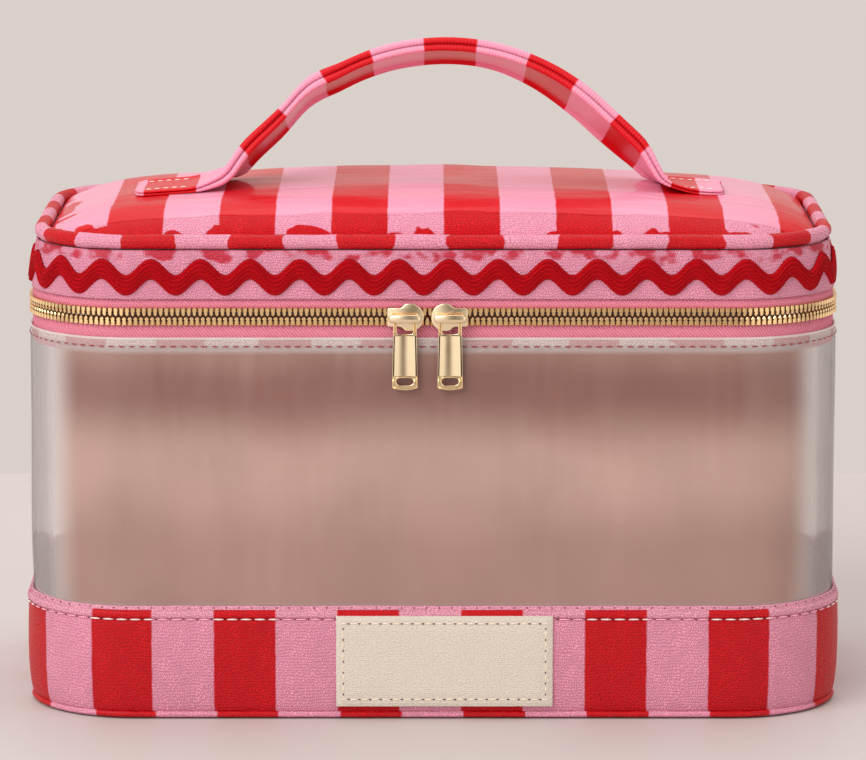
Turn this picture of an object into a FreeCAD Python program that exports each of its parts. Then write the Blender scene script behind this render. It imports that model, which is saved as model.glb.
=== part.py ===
import FreeCAD, Part
import math
import os

import Sketcher

# A soft-sided carry case: striped base, clear window, zipped lid on a fabric hinge, strap handle.
# Origin at the middle of the resting face, X across the front, -Y towards the viewer, Z up.

Vector = FreeCAD.Vector

# Driving dimensions in millimetres. Names that end in angle are degrees, in share are shares.
SIZES = {
    # plan of the case, measured round the base band
    "case_width": 290.0,
    "case_depth": 152.0,
    "corner_radius": 40.0,
    "layer_gap": 0.1,
    "cut_overrun": 5.0,
    # bottom
    "bottom_inset": 4.6,
    "bottom_wall": 1.5,
    "board_wall": 2.0,
    "floor_lining_wall": 0.6,
    "bottom_piping_radius": 1.9,
    "bottom_piping_inset": 2.2,
    "bottom_piping_lift": 0.2,
    # base band
    "band_wall": 1.2,
    "band_top": 37.5,
    "stiffener_wall": 0.5,
    "binding_height": 3.2,
    "binding_roll": 1.2,
    "base_lining_wall": 0.5,
    # window
    "window_inset": 2.0,
    "window_wall": 0.6,
    "window_lap": 8.0,
    "facing_wall": 0.3,
    "facing_height": 3.6,
    "seam_tape_width": 12.0,
    "seam_tape_wall": 0.6,
    # zipper
    "chain_height": 143.2,
    "tape_wall": 0.6,
    "lower_tape_show": 3.8,
    "upper_tape_show": 2.4,
    "tape_lap": 5.9,
    "tooth_height": 3.05,
    "tooth_width": 1.15,
    "tooth_head_share": 0.6,
    "tooth_thickness": 3.0,
    "tooth_pitch": 1.95,
    "row_slot": 0.9,
    "stop_length": 2.4,
    "running_clearance": 0.3,
    # fabric hinge
    "hinge_width": 176.0,
    "zip_end_gap": 3.0,
    "hinge_lap": 4.0,
    # lid
    "lid_band_height": 17.1,
    "lid_band_inset": 2.75,
    "lid_taper": 1.9,
    "lid_band_wall": 1.0,
    "lid_lining_wall": 0.5,
    "lid_piping_radius": 2.55,
    "lid_piping_rise": 2.8,
    "lid_piping_inset": 6.6,
    "lid_edge_drop": 1.2,
    "lid_edge_inset": 9.3,
    "crown_rise": 14.2,
    "crown_inset": 34.0,
    "lid_top_wall": 0.8,
    "lid_board_wall": 1.5,
    # wavy trim
    "trim_lift": 7.8,
    "trim_overall": 12.4,
    "trim_ribbon": 6.6,
    "trim_thickness": 1.6,
    "trim_period": 17.26,
    "trim_peak": 5.4,
    # label patch
    "patch_width": 76.0,
    "patch_height": 32.4,
    "patch_middle": 21.2,
    "patch_shift": 4.0,
    "patch_wall": 1.5,
    "patch_corner": 1.6,
    # handle
    "strap_width": 34.0,
    "strap_wall": 2.4,
    "roll_diameter": 4.2,
    "arch_radius": 82.0,
    "arch_rise": 46.2,
    "arch_shift": 4.5,
    "leg_angle": 43.5,
    "lean_angle": 15.0,
    "pivot_lift": 2.4,
    "root_width": 5.0,
    "root_taper_height": 15.5,
    "tab_length": 30.0,
    "tab_wall": 2.0,
    "tab_corner": 7.0,
    "tab_gap": 0.4,
    # sliders
    "slider_length": 12.8,
    "nose_radius": 4.95,
    "tail_height": 6.6,
    "tail_length": 5.0,
    "nose_angle": 112.0,
    "slider_plate": 1.2,
    "nose_gap": 2.4,
    "meet_shift": -1.9,
    "web_length": 2.6,
    "web_wall": 0.5,
    "lip_length": 4.4,
    "lip_height": 0.45,
    "bail_length": 10.6,
    "bail_foot": 1.1,
    "bail_height": 2.8,
    "bail_wall": 1.6,
    "bail_stand": 3.2,
    "bail_back": 1.7,
    "bail_round": 0.55,
    # pulls
    "pull_top_width": 8.0,
    "pull_bottom_width": 9.0,
    "pull_length": 25.4,
    "pull_wall": 1.2,
    "pull_offset": 2.25,
    "pull_head": 0.7,
    "eye_top": 1.5,
    "eye_width": 5.7,
    "eye_height": 4.1,
    "slot_drop": 22.5,
    "slot_width": 6.0,
    "slot_height": 2.5,
}

# Height and inset of the crown's sections, as shares of its rise and of its run.
CROWN_SHARES = ((0.0, 0.0), (0.5, 0.17), (0.85, 0.55), (1.0, 1.0))

# Sections of each wave of the trim.
TRIM_SECTIONS = 8

doc = FreeCAD.newDocument("tile_case")
sheet = doc.addObject("Spreadsheet::Sheet", "dim")
for row, (alias, value) in enumerate(SIZES.items(), 1):
    sheet.set(f"A{row}", alias)
    sheet.set(f"B{row}", str(value))
    sheet.setAlias(f"B{row}", alias)
doc.recompute()

pieces = []


def number(expression):
    """Value of an expression in the sheet's sizes."""
    return float(sheet.evalExpression(expression))


# Levels and insets that several pieces share. An inset is measured in from the base band's face.
BAND_BOTTOM = "dim.bottom_piping_lift + 2 * dim.bottom_piping_radius + dim.layer_gap"
BINDING_TOP = "dim.band_top + dim.binding_height"
STIFFENER_INSET = "dim.band_wall + dim.layer_gap"
WINDOW_INNER = "dim.window_inset + dim.window_wall + dim.layer_gap"
TAPE_INSET = f"{WINDOW_INNER} + dim.facing_wall + dim.layer_gap"
TAPE_MIDDLE = f"{TAPE_INSET} + dim.tape_wall / 2"
TAPE_TOP = "dim.chain_height - dim.row_slot / 2 - dim.tooth_height"
WINDOW_TOP = f"{TAPE_TOP} - dim.lower_tape_show"
WINDOW_BOTTOM = "dim.band_top - dim.window_lap"
TAPE_BOTTOM = f"{WINDOW_TOP} - dim.tape_lap"
UPPER_TAPE_BOTTOM = "dim.chain_height + dim.row_slot / 2 + dim.tooth_height"
LID_BAND_BOTTOM = f"{UPPER_TAPE_BOTTOM} + dim.upper_tape_show"
LID_BAND_TOP = f"{LID_BAND_BOTTOM} + dim.lid_band_height"
LID_SLOPE = "dim.lid_taper / dim.lid_band_height"
LID_PIPING_HEIGHT = f"{LID_BAND_TOP} + dim.lid_piping_rise"
LID_EDGE = f"{LID_PIPING_HEIGHT} - dim.lid_edge_drop"
UNDER_LID_BAND = "dim.lid_band_inset + dim.lid_band_wall + dim.layer_gap"
UNDER_UPPER_TAPE = f"{UNDER_LID_BAND} + dim.tape_wall + dim.layer_gap"
LAP_TOP = f"{LID_BAND_BOTTOM} + dim.hinge_lap"
CROWN_TOP = f"{LID_EDGE} + dim.crown_rise"
FOAM_DROP = "dim.lid_top_wall + dim.layer_gap"
BOARD_TOP = f"{LID_EDGE} - ({FOAM_DROP})"
BOARD_BOTTOM = f"{BOARD_TOP} - dim.lid_board_wall"
LID_LINING_TOP = f"{BOARD_BOTTOM} - dim.lid_lining_wall"
PIVOT_HEIGHT = f"{CROWN_TOP} + dim.pivot_lift"


def new_body(label):
    body = doc.addObject("PartDesign::Body", label)
    body.Label = label
    pieces.append(body)
    return body


def place(body, x="0", y="0", z="0"):
    for axis, expression in zip("xyz", (x, y, z)):
        body.setExpression(f"Placement.Base.{axis}", expression)


def new_sketch(body, role, offset="0"):
    """A sketch on one of the body's own planes, moved along that plane's normal."""
    plane = next(item for item in body.Origin.OriginFeatures if item.Role == role)
    sketch = body.newObject("Sketcher::SketchObject", f"{body.Label}_sketch")
    sketch.AttachmentSupport = [(plane, "")]
    sketch.MapMode = "FlatFace"
    sketch.setExpression("AttachmentOffset.Base.z", offset)
    return sketch


def drive(sketch, constraint, expression):
    """Add a constraint whose value follows an expression."""
    index = sketch.addConstraint(constraint)
    sketch.setExpression(f"Constraints[{index}]", expression)


def lock_point(sketch, edge, end, x, y):
    """Hold one end of an edge at a place given by two expressions."""
    for kind, axis, expression in (("DistanceX", -2, x), ("DistanceY", -1, y)):
        value = number(expression)
        if value == 0:
            sketch.addConstraint(Sketcher.Constraint("PointOnObject", edge, end, axis))
        else:
            drive(sketch, Sketcher.Constraint(kind, -1, 1, edge, end, value), expression)


def rounded_rectangle(sketch, width, height, radius):
    """A rounded rectangle about the sketch's origin."""
    half_w = number(width) / 2
    half_h = number(height) / 2
    round_r = number(radius)
    core_w = half_w - round_r
    core_h = half_h - round_r
    sides = (
        (Vector(-core_w, -half_h), Vector(core_w, -half_h)),
        (Vector(half_w, -core_h), Vector(half_w, core_h)),
        (Vector(core_w, half_h), Vector(-core_w, half_h)),
        (Vector(-half_w, core_h), Vector(-half_w, -core_h)),
    )
    centres = (
        Vector(core_w, -core_h),
        Vector(core_w, core_h),
        Vector(-core_w, core_h),
        Vector(-core_w, -core_h),
    )
    lines = []
    arcs = []
    for turn, (side, centre) in enumerate(zip(sides, centres)):
        lines.append(sketch.addGeometry(Part.LineSegment(*side)))
        circle = Part.Circle(centre, Vector(0, 0, 1), round_r)
        start = (turn - 1) * math.pi / 2
        arcs.append(sketch.addGeometry(Part.ArcOfCircle(circle, start, start + math.pi / 2)))
    for turn in range(4):
        sketch.addConstraint(Sketcher.Constraint("Tangent", lines[turn], 2, arcs[turn], 1))
        sketch.addConstraint(Sketcher.Constraint("Tangent", arcs[turn], 2, lines[(turn + 1) % 4], 1))
        flat = "Vertical" if turn % 2 else "Horizontal"
        sketch.addConstraint(Sketcher.Constraint(flat, lines[turn]))
        if turn:
            sketch.addConstraint(Sketcher.Constraint("Equal", arcs[0], arcs[turn]))
    sketch.addConstraint(Sketcher.Constraint("Symmetric", arcs[0], 3, arcs[2], 3, -1, 1))
    drive(sketch, Sketcher.Constraint("DistanceX", lines[3], 1, lines[1], 1, 2 * half_w), width)
    drive(sketch, Sketcher.Constraint("DistanceY", lines[0], 1, lines[2], 1, 2 * half_h), height)
    drive(sketch, Sketcher.Constraint("Radius", arcs[0], round_r), radius)


def plan_outline(sketch, inset):
    """The case's rounded plan, drawn in by an inset."""
    rounded_rectangle(
        sketch,
        f"dim.case_width - 2 * ({inset})",
        f"dim.case_depth - 2 * ({inset})",
        f"dim.corner_radius - ({inset})",
    )


def polygon(sketch, points):
    """A closed outline through points given as pairs of expressions."""
    corners = [Vector(number(x), number(y)) for x, y in points]
    edges = []
    for index, corner in enumerate(corners):
        following = corners[(index + 1) % len(corners)]
        edges.append(sketch.addGeometry(Part.LineSegment(corner, following)))
    for index, edge in enumerate(edges):
        following = edges[(index + 1) % len(edges)]
        sketch.addConstraint(Sketcher.Constraint("Coincident", edge, 2, following, 1))
        lock_point(sketch, edge, 1, *points[index])


def rectangle(sketch, left, right, low, high):
    polygon(sketch, ((left, low), (right, low), (right, high), (left, high)))


def pad(body, sketch, length, midplane=False, backwards=False):
    feature = body.newObject("PartDesign::Pad", f"{body.Label}_pad")
    feature.Profile = sketch
    feature.setExpression("Length", length)
    feature.SideType = "Symmetric" if midplane else "One side"
    feature.Reversed = backwards
    return feature


def cut_through(body, sketch, both_ways=False):
    """Cut the outline right through the body, down from the sketch or both ways from it."""
    before = body.Shape.Volume
    feature = body.newObject("PartDesign::Pocket", f"{body.Label}_cut")
    feature.Profile = sketch
    feature.Type = "ThroughAll"
    feature.SideType = "Symmetric" if both_ways else "One side"
    doc.recompute()
    if feature.Shape.Volume >= before:
        raise ValueError(f"{body.Label}: the cut removes nothing")
    return feature


def plate(label, inset, bottom, thickness):
    """A flat sheet in the case's plan."""
    body = new_body(label)
    sketch = new_sketch(body, "XY_Plane", bottom)
    plan_outline(sketch, inset)
    pad(body, sketch, thickness)
    return body


def ring(label, inset, wall, bottom, top):
    """An upright wall that follows the case's plan."""
    body = new_body(label)
    sketch = new_sketch(body, "XY_Plane", bottom)
    plan_outline(sketch, inset)
    plan_outline(sketch, f"{inset} + {wall}")
    pad(body, sketch, f"{top} - ({bottom})")
    return body


def loft(body, kind, sections):
    """A straight-sided loft through (height, inset) sections of the plan."""
    sketches = []
    for height, inset in sections:
        sketch = new_sketch(body, "XY_Plane", height)
        plan_outline(sketch, inset)
        sketches.append(sketch)
    feature = body.newObject(f"PartDesign::{kind}Loft", f"{body.Label}_loft")
    feature.Profile = sketches[0]
    feature.Sections = sketches[1:]
    feature.Ruled = True
    return feature


def sloping_ring(label, sections, wall):
    """A wall that follows the plan and leans in or out with height."""
    body = new_body(label)
    loft(body, "Additive", sections)
    loft(body, "Subtractive", [(height, f"{inset} + {wall}") for height, inset in sections])
    return body


def piping(label, inset, height, radius):
    """A round cord that follows the plan."""
    body = new_body(label)
    spine = new_sketch(body, "XY_Plane", height)
    plan_outline(spine, inset)
    profile = new_sketch(body, "YZ_Plane")
    centre_y = f"{inset} - dim.case_depth / 2"
    centre = Vector(number(centre_y), number(height))
    circle = profile.addGeometry(Part.Circle(centre, Vector(0, 0, 1), number(radius)))
    lock_point(profile, circle, 3, centre_y, height)
    drive(profile, Sketcher.Constraint("Radius", circle, number(radius)), radius)
    doc.recompute()
    feature = body.newObject("PartDesign::AdditivePipe", f"{label}_pipe")
    feature.Profile = profile
    feature.Spine = (spine, [f"Edge{index + 1}" for index in range(len(spine.Shape.Edges))])
    return body


def open_back(body, top):
    """Leave the hinge's stretch of the back free."""
    sketch = new_sketch(body, "XY_Plane", top)
    half = "dim.hinge_width / 2 + dim.zip_end_gap"
    outside = "dim.case_depth / 2 + dim.cut_overrun"
    rectangle(sketch, f"-({half})", half, "dim.case_depth / 2 - dim.corner_radius", outside)
    doc.recompute()
    cut_through(body, sketch)


def strip(label, points, width):
    """A strip across the case with the given outline in depth and height."""
    body = new_body(label)
    sketch = new_sketch(body, "YZ_Plane")
    polygon(sketch, points)
    pad(body, sketch, width, midplane=True)
    return body


# Bottom and base band
def make_base():
    plate("bottom_panel", "dim.bottom_inset", "0", "dim.bottom_wall")
    plate("base_board", "dim.bottom_inset", "dim.bottom_wall", "dim.board_wall")
    lining_inset = "dim.bottom_piping_inset + dim.bottom_piping_radius"
    lining_bottom = "dim.bottom_wall + dim.board_wall"
    plate("floor_lining", lining_inset, lining_bottom, "dim.floor_lining_wall")
    piping(
        "bottom_piping",
        "dim.bottom_piping_inset",
        "dim.bottom_piping_lift + dim.bottom_piping_radius",
        "dim.bottom_piping_radius",
    )
    ring("base_band", "0", "dim.band_wall", BAND_BOTTOM, "dim.band_top")
    ring("band_stiffener", STIFFENER_INSET, "dim.stiffener_wall", BAND_BOTTOM, "dim.band_top")
    ring("base_lining", WINDOW_INNER, "dim.base_lining_wall", BAND_BOTTOM, BINDING_TOP)
    make_binding()


def make_binding():
    """Rolled top edge of the base band, up against the window."""
    wall = "dim.window_inset - dim.layer_gap"
    body = ring("base_binding", "0", wall, "dim.band_top", BINDING_TOP)
    doc.recompute()
    wall_pad = body.Tip
    names = []
    for index, edge in enumerate(wall_pad.Shape.Edges, 1):
        middle = edge.valueAt((edge.FirstParameter + edge.LastParameter) / 2)
        on_top = abs(middle.z - number(BINDING_TOP)) < Part.Precision.confusion()
        if on_top and is_on_plan(middle, 0):
            names.append(f"Edge{index}")
    roll = body.newObject("PartDesign::Fillet", "base_binding_roll")
    roll.Base = (wall_pad, names)
    roll.setExpression("Radius", "min(dim.binding_roll; dim.window_inset / 2)")


def is_on_plan(point, inset):
    """Whether a point lies on the plan drawn in by an inset."""
    round_r = number("dim.corner_radius") - inset
    core_x = number("dim.case_width / 2 - dim.corner_radius")
    core_y = number("dim.case_depth / 2 - dim.corner_radius")
    away_x = max(abs(point.x) - core_x, 0)
    away_y = max(abs(point.y) - core_y, 0)
    return abs(math.hypot(away_x, away_y) - round_r) < Part.Precision.approximation()


# Window
def make_window():
    ring("window_panel", "dim.window_inset", "dim.window_wall", WINDOW_BOTTOM, WINDOW_TOP)
    facing_bottom = f"{WINDOW_TOP} - dim.facing_height"
    facing = ring("window_facing", WINDOW_INNER, "dim.facing_wall", facing_bottom, WINDOW_TOP)
    doc.recompute()
    open_back(facing, WINDOW_TOP)
    outside = "dim.case_depth / 2 - dim.window_inset"
    tape_low = f"{BINDING_TOP} + dim.layer_gap"
    strip(
        "window_seam_tape",
        (
            (outside, tape_low),
            (f"{outside} + dim.seam_tape_wall", tape_low),
            (f"{outside} + dim.seam_tape_wall", WINDOW_TOP),
            (outside, WINDOW_TOP),
        ),
        "dim.seam_tape_width",
    )


def make_patch():
    body = new_body("label_patch")
    sketch = new_sketch(body, "XZ_Plane", "dim.case_depth / 2")
    rounded_rectangle(sketch, "dim.patch_width", "dim.patch_height", "dim.patch_corner")
    pad(body, sketch, "dim.patch_wall")
    place(body, x="dim.patch_shift", z="dim.patch_middle")


# Zipper tapes and fabric hinge
def make_tapes():
    lower = ring("zipper_tape_lower", TAPE_INSET, "dim.tape_wall", TAPE_BOTTOM, TAPE_TOP)
    doc.recompute()
    open_back(lower, TAPE_TOP)
    lap_inset = f"{UNDER_LID_BAND} + dim.hinge_lap * {LID_SLOPE}"
    sections = (
        (UPPER_TAPE_BOTTOM, TAPE_INSET),
        (LID_BAND_BOTTOM, UNDER_LID_BAND),
        (LAP_TOP, lap_inset),
    )
    upper = sloping_ring("zipper_tape_upper", sections, "dim.tape_wall")
    doc.recompute()
    open_back(upper, LAP_TOP)
    make_hinge(lap_inset)


def make_hinge(lap_inset):
    """Two leaves of the cloth hinge, which meet at the fold on their outer faces."""
    leaf = "dim.facing_wall + dim.layer_gap + dim.tape_wall"
    outer = f"dim.case_depth / 2 - ({WINDOW_INNER})"
    inner = f"{outer} - ({leaf})"
    strip(
        "hinge_leaf_lower",
        (
            (inner, TAPE_BOTTOM),
            (outer, TAPE_BOTTOM),
            (outer, "dim.chain_height"),
            (inner, "dim.chain_height"),
        ),
        "dim.hinge_width",
    )
    bend = f"dim.case_depth / 2 - ({UNDER_LID_BAND})"
    lap = f"dim.case_depth / 2 - ({lap_inset})"
    strip(
        "hinge_leaf_upper",
        (
            (inner, "dim.chain_height"),
            (outer, "dim.chain_height"),
            (outer, UPPER_TAPE_BOTTOM),
            (bend, LID_BAND_BOTTOM),
            (lap, LAP_TOP),
            (f"{lap} - dim.tape_wall", LAP_TOP),
            (f"{bend} - dim.tape_wall", LID_BAND_BOTTOM),
            (inner, UPPER_TAPE_BOTTOM),
        ),
        "dim.hinge_width",
    )


class PlanPath:
    """Distance along the case's plan at one inset, counted from the front's middle to the right."""

    def __init__(self, inset):
        self.round_r = number("dim.corner_radius") - inset
        self.half_x = number("dim.case_width / 2 - dim.corner_radius")
        self.half_y = number("dim.case_depth / 2 - dim.corner_radius")
        self.bend = self.round_r * math.pi / 2
        self.length = 4 * (self.half_x + self.half_y + self.bend)

    def frame(self, distance):
        """The centre that the plan turns about there, and the outward direction."""
        left = distance % self.length
        x, y, turn = 0.0, -self.half_y, -math.pi / 2
        runs = (self.half_x, 2 * self.half_y, 2 * self.half_x, 2 * self.half_y, self.half_x)
        for run in runs:
            step = min(left, run)
            x += -math.sin(turn) * step
            y += math.cos(turn) * step
            left -= step
            if left <= 0:
                break
            step = min(left, self.bend)
            turn += step / self.round_r
            left -= step
            if left <= 0:
                break
        return Vector(x, y, 0), Vector(math.cos(turn), math.sin(turn), 0)

    def point(self, distance, out, height):
        """A point at a height, moved out from the path."""
        centre, outward = self.frame(distance)
        return centre + outward * (self.round_r + out) + Vector(0, 0, height)


def add_shape(label, shape):
    feature = doc.addObject("Part::Feature", label)
    feature.Label = label
    feature.Shape = shape
    pieces.append(feature)


# Zipper teeth
def tooth(path, distance, edge, head):
    """One tooth, clamped on the tape's edge and narrowing towards its head."""
    centre, outward = path.frame(distance)
    along = Vector(-outward.y, outward.x, 0)
    base = centre + outward * (path.round_r - number("dim.tooth_thickness") / 2)
    half = number("dim.tooth_width") / 2
    narrow = half * number("dim.tooth_head_share")
    neck = (edge + head) / 2
    outline = ((-half, edge), (half, edge), (half, neck), (narrow, head), (-narrow, head), (-half, neck))
    corners = [base + along * offset + Vector(0, 0, height) for offset, height in outline]
    face = Part.Face(Part.makePolygon(corners + corners[:1]))
    return face.extrude(outward * number("dim.tooth_thickness"))


def zip_reach(path):
    """Length of the chain from the front's middle to each end at the back."""
    back_run = path.half_x - number("dim.hinge_width / 2 + dim.zip_end_gap")
    return path.half_x + 2 * path.bend + 2 * path.half_y + back_run


def make_teeth():
    path = PlanPath(number(TAPE_MIDDLE))
    pitch = number("dim.tooth_pitch")
    stop = number("dim.stop_length")
    count = int((zip_reach(path) - stop - pitch) / pitch)
    rows = (
        ("zipper_teeth_lower", TAPE_TOP, "dim.chain_height - dim.row_slot / 2", 0.0),
        ("zipper_teeth_upper", UPPER_TAPE_BOTTOM, "dim.chain_height + dim.row_slot / 2", 0.5),
    )
    for label, edge, head, stagger in rows:
        teeth = []
        for index in range(-count, count + 1):
            distance = (index + stagger) * pitch
            teeth.append(tooth(path, distance, number(edge), number(head)))
        add_shape(label, Part.makeCompound(teeth))


def make_stops():
    """A square metal stop at each end of the lower row."""
    path = PlanPath(number(TAPE_MIDDLE))
    length = number("dim.stop_length")
    thickness = number("dim.tooth_thickness")
    low = number(TAPE_TOP)
    stops = []
    for side in (-1, 1):
        distance = side * (zip_reach(path) - length / 2)
        centre, outward = path.frame(distance)
        along = Vector(-outward.y, outward.x, 0)
        corner = centre + outward * (path.round_r - thickness / 2) - along * (length / 2)
        corners = [corner + Vector(0, 0, low)]
        corners.append(corners[0] + along * length)
        corners.append(corners[1] + outward * thickness)
        corners.append(corners[0] + outward * thickness)
        face = Part.Face(Part.makePolygon(corners + corners[:1]))
        stops.append(face.extrude(Vector(0, 0, number("dim.tooth_height"))))
    add_shape("zipper_stops", Part.makeCompound(stops))


# Lid
def crown_sections(drop):
    """Sections of the crowned lid top, moved down by a drop."""
    run = "(dim.crown_inset - dim.lid_edge_inset)"
    sections = []
    for rise_share, run_share in CROWN_SHARES:
        height = f"{LID_EDGE} + {rise_share} * dim.crown_rise - ({drop})"
        sections.append((height, f"dim.lid_edge_inset + {run_share} * {run}"))
    return sections


def make_lid():
    top_inset = "dim.lid_band_inset + dim.lid_taper"
    band = ((LID_BAND_BOTTOM, "dim.lid_band_inset"), (LID_BAND_TOP, top_inset))
    sloping_ring("lid_side_band", band, "dim.lid_band_wall")
    lining_rise = f"({LID_LINING_TOP} - ({LID_BAND_BOTTOM}))"
    lining = (
        (LID_BAND_BOTTOM, UNDER_UPPER_TAPE),
        (LID_LINING_TOP, f"{UNDER_UPPER_TAPE} + {lining_rise} * {LID_SLOPE}"),
    )
    sloping_ring("lid_band_lining", lining, "dim.lid_lining_wall")
    piping("lid_piping", "dim.lid_piping_inset", LID_PIPING_HEIGHT, "dim.lid_piping_radius")
    panel = new_body("lid_top_panel")
    loft(panel, "Additive", crown_sections("0"))
    loft(panel, "Subtractive", crown_sections("dim.lid_top_wall"))
    foam = new_body("lid_foam")
    loft(foam, "Additive", crown_sections(FOAM_DROP))
    plate("lid_board", "dim.lid_edge_inset", BOARD_BOTTOM, "dim.lid_board_wall")
    lining_inset = f"{top_inset} + dim.lid_band_wall + dim.layer_gap"
    plate("lid_top_lining", lining_inset, LID_LINING_TOP, "dim.lid_lining_wall")


def make_trim():
    """A flat braid laid on the lid band in even waves."""
    slope = number(LID_SLOPE)
    low = number(LID_BAND_BOTTOM)
    inset = number("dim.lid_band_inset")
    middle = low + number("dim.trim_lift")
    path = PlanPath(inset + (middle - low) * slope)
    count = round(path.length / number("dim.trim_period"))
    period = path.length / count
    peak = number("dim.trim_peak")
    swing = number("(dim.trim_overall - dim.trim_ribbon) / 2")
    half = number("dim.trim_ribbon / 2")
    gap = number("dim.layer_gap")
    outs = (gap, gap + number("dim.trim_thickness"))
    wires = []
    for index in range(count * TRIM_SECTIONS):
        distance = peak + index * period / TRIM_SECTIONS
        phase = 2 * math.pi * index / TRIM_SECTIONS
        height = swing * math.cos(phase)
        steepness = math.atan(-swing * math.sin(phase) * 2 * math.pi / period)
        edge_x = -math.sin(steepness) * half
        edge_z = math.cos(steepness) * half
        corners = []
        for side, out in ((-1, outs[0]), (1, outs[0]), (1, outs[1]), (-1, outs[1])):
            rise = height + side * edge_z
            corners.append(path.point(distance + side * edge_x, out - rise * slope, middle + rise))
        wires.append(Part.makePolygon(corners + corners[:1]))
    add_shape("wavy_trim", closed_band(wires))


def closed_band(wires):
    """A solid band through a closed round of four-cornered sections."""
    faces = []
    for index, wire in enumerate(wires):
        following = wires[(index + 1) % len(wires)]
        for near, far in zip(wire.Edges, following.Edges):
            faces.append(Part.makeRuledSurface(near, far))
    shell = Part.makeShell(faces)
    shell.sewShape()
    solid = Part.makeSolid(shell)
    if solid.Volume < 0:
        solid.reverse()
    return solid


# Handle
def arch(sketch, outer, inner, level):
    """Side view of the strap: a straight left leg and one long curve, cut off level at the feet."""
    radii = (number(outer), number(inner))
    centre_y = "dim.arch_rise - dim.arch_radius"
    centre = Vector(number("dim.arch_shift"), number(centre_y))
    base = number(level)
    lean = math.radians(number("dim.leg_angle"))
    arcs = []
    legs = []
    for radius in radii:
        circle = Part.Circle(centre, Vector(0, 0, 1), radius)
        foot = math.asin((base - centre.y) / radius)
        shoulder = math.pi / 2 + lean
        arcs.append(sketch.addGeometry(Part.ArcOfCircle(circle, foot, shoulder)))
        top = centre + Vector(math.cos(shoulder), math.sin(shoulder)) * radius
        end = Vector(top.x - (top.y - base) / math.tan(lean), base)
        legs.append(sketch.addGeometry(Part.LineSegment(end, top)))
    feet = []
    for edges in (legs, arcs):
        ends = [sketch.getPoint(edge, 1) for edge in edges]
        feet.append(sketch.addGeometry(Part.LineSegment(*ends)))
        for index, edge in enumerate(edges):
            sketch.addConstraint(Sketcher.Constraint("Coincident", edge, 1, feet[-1], index + 1))
        sketch.addConstraint(Sketcher.Constraint("Horizontal", feet[-1]))
    for arc, leg, radius, expression in zip(arcs, legs, radii, (outer, inner)):
        sketch.addConstraint(Sketcher.Constraint("Tangent", arc, 2, leg, 2))
        drive(sketch, Sketcher.Constraint("Radius", arc, radius), expression)
    sketch.addConstraint(Sketcher.Constraint("Coincident", arcs[0], 3, arcs[1], 3))
    lock_point(sketch, arcs[0], 3, "dim.arch_shift", centre_y)
    sketch.addConstraint(Sketcher.Constraint("Parallel", legs[0], legs[1]))
    drive(sketch, Sketcher.Constraint("Angle", legs[0], lean), "dim.leg_angle")
    for foot in feet:
        if base == 0:
            sketch.addConstraint(Sketcher.Constraint("PointOnObject", foot, 1, -1))
        else:
            drive(sketch, Sketcher.Constraint("DistanceY", -1, 1, foot, 1, base), level)


def lean_back(body):
    """Stand a handle piece on the pivot line, leaning back as it rests."""
    body.Placement = FreeCAD.Placement(Vector(), FreeCAD.Rotation(Vector(-1, 0, 0), 1))
    place(body, z=PIVOT_HEIGHT)
    body.setExpression("Placement.Rotation.Angle", "dim.lean_angle")


def make_handle():
    strap = new_body("handle_strap")
    outer = "dim.arch_radius - (dim.roll_diameter - dim.strap_wall) / 2"
    sketch = new_sketch(strap, "XZ_Plane")
    arch(sketch, outer, f"{outer} - dim.strap_wall", "0")
    pad(strap, sketch, "dim.strap_width - 2 * dim.roll_diameter - 2 * dim.layer_gap", midplane=True)
    doc.recompute()
    taper_root(strap)
    lean_back(strap)
    middle = "(dim.strap_width - dim.roll_diameter) / 2"
    for label, side in (("handle_roll_front", ""), ("handle_roll_back", "-")):
        roll = new_body(label)
        start = f"{side}({middle}) - dim.roll_diameter / 2"
        sketch = new_sketch(roll, "XZ_Plane", start)
        arch(sketch, "dim.arch_radius", "dim.arch_radius - dim.roll_diameter", "dim.root_taper_height")
        pad(roll, sketch, "dim.roll_diameter")
        lean_back(roll)


def taper_root(strap):
    """Narrow the strap towards its roots, so that it clears the lid when it tilts."""
    root = "dim.root_width / 2"
    edge = "dim.strap_width / 2"
    sketch = new_sketch(strap, "YZ_Plane")
    for side in ("", "-"):
        polygon(
            sketch,
            (
                (f"{side}({root})", "-dim.cut_overrun"),
                (f"{side}({root})", "0"),
                (f"{side}({edge})", "dim.root_taper_height"),
                (f"{side}({edge} + dim.cut_overrun)", "dim.root_taper_height"),
                (f"{side}({edge} + dim.cut_overrun)", "-dim.cut_overrun"),
            ),
        )
    doc.recompute()
    cut_through(strap, sketch, both_ways=True)


def make_tabs():
    """Flat ends of the strap, sewn on the lid outside the pivot line's roots."""
    outer_radius = "(dim.arch_radius - (dim.roll_diameter - dim.strap_wall) / 2)"
    drop = "(dim.arch_radius - dim.arch_rise)"
    right_foot = f"dim.arch_shift + sqrt({outer_radius} ^ 2 - {drop} ^ 2)"
    shoulder = f"{outer_radius} * cos(dim.leg_angle * 1 deg) - {drop}"
    left_foot = f"{outer_radius} * sin(dim.leg_angle * 1 deg) + ({shoulder}) / tan(dim.leg_angle * 1 deg)"
    sides = (
        ("handle_tab_right", f"{right_foot} + dim.tab_gap + dim.tab_length / 2"),
        ("handle_tab_left", f"dim.arch_shift - ({left_foot}) - dim.tab_gap - dim.tab_length / 2"),
    )
    for label, middle in sides:
        body = new_body(label)
        sketch = new_sketch(body, "XY_Plane")
        rounded_rectangle(sketch, "dim.tab_length", "dim.strap_width", "dim.tab_corner")
        pad(body, sketch, "dim.tab_wall")
        place(body, x=middle, z=CROWN_TOP)


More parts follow.
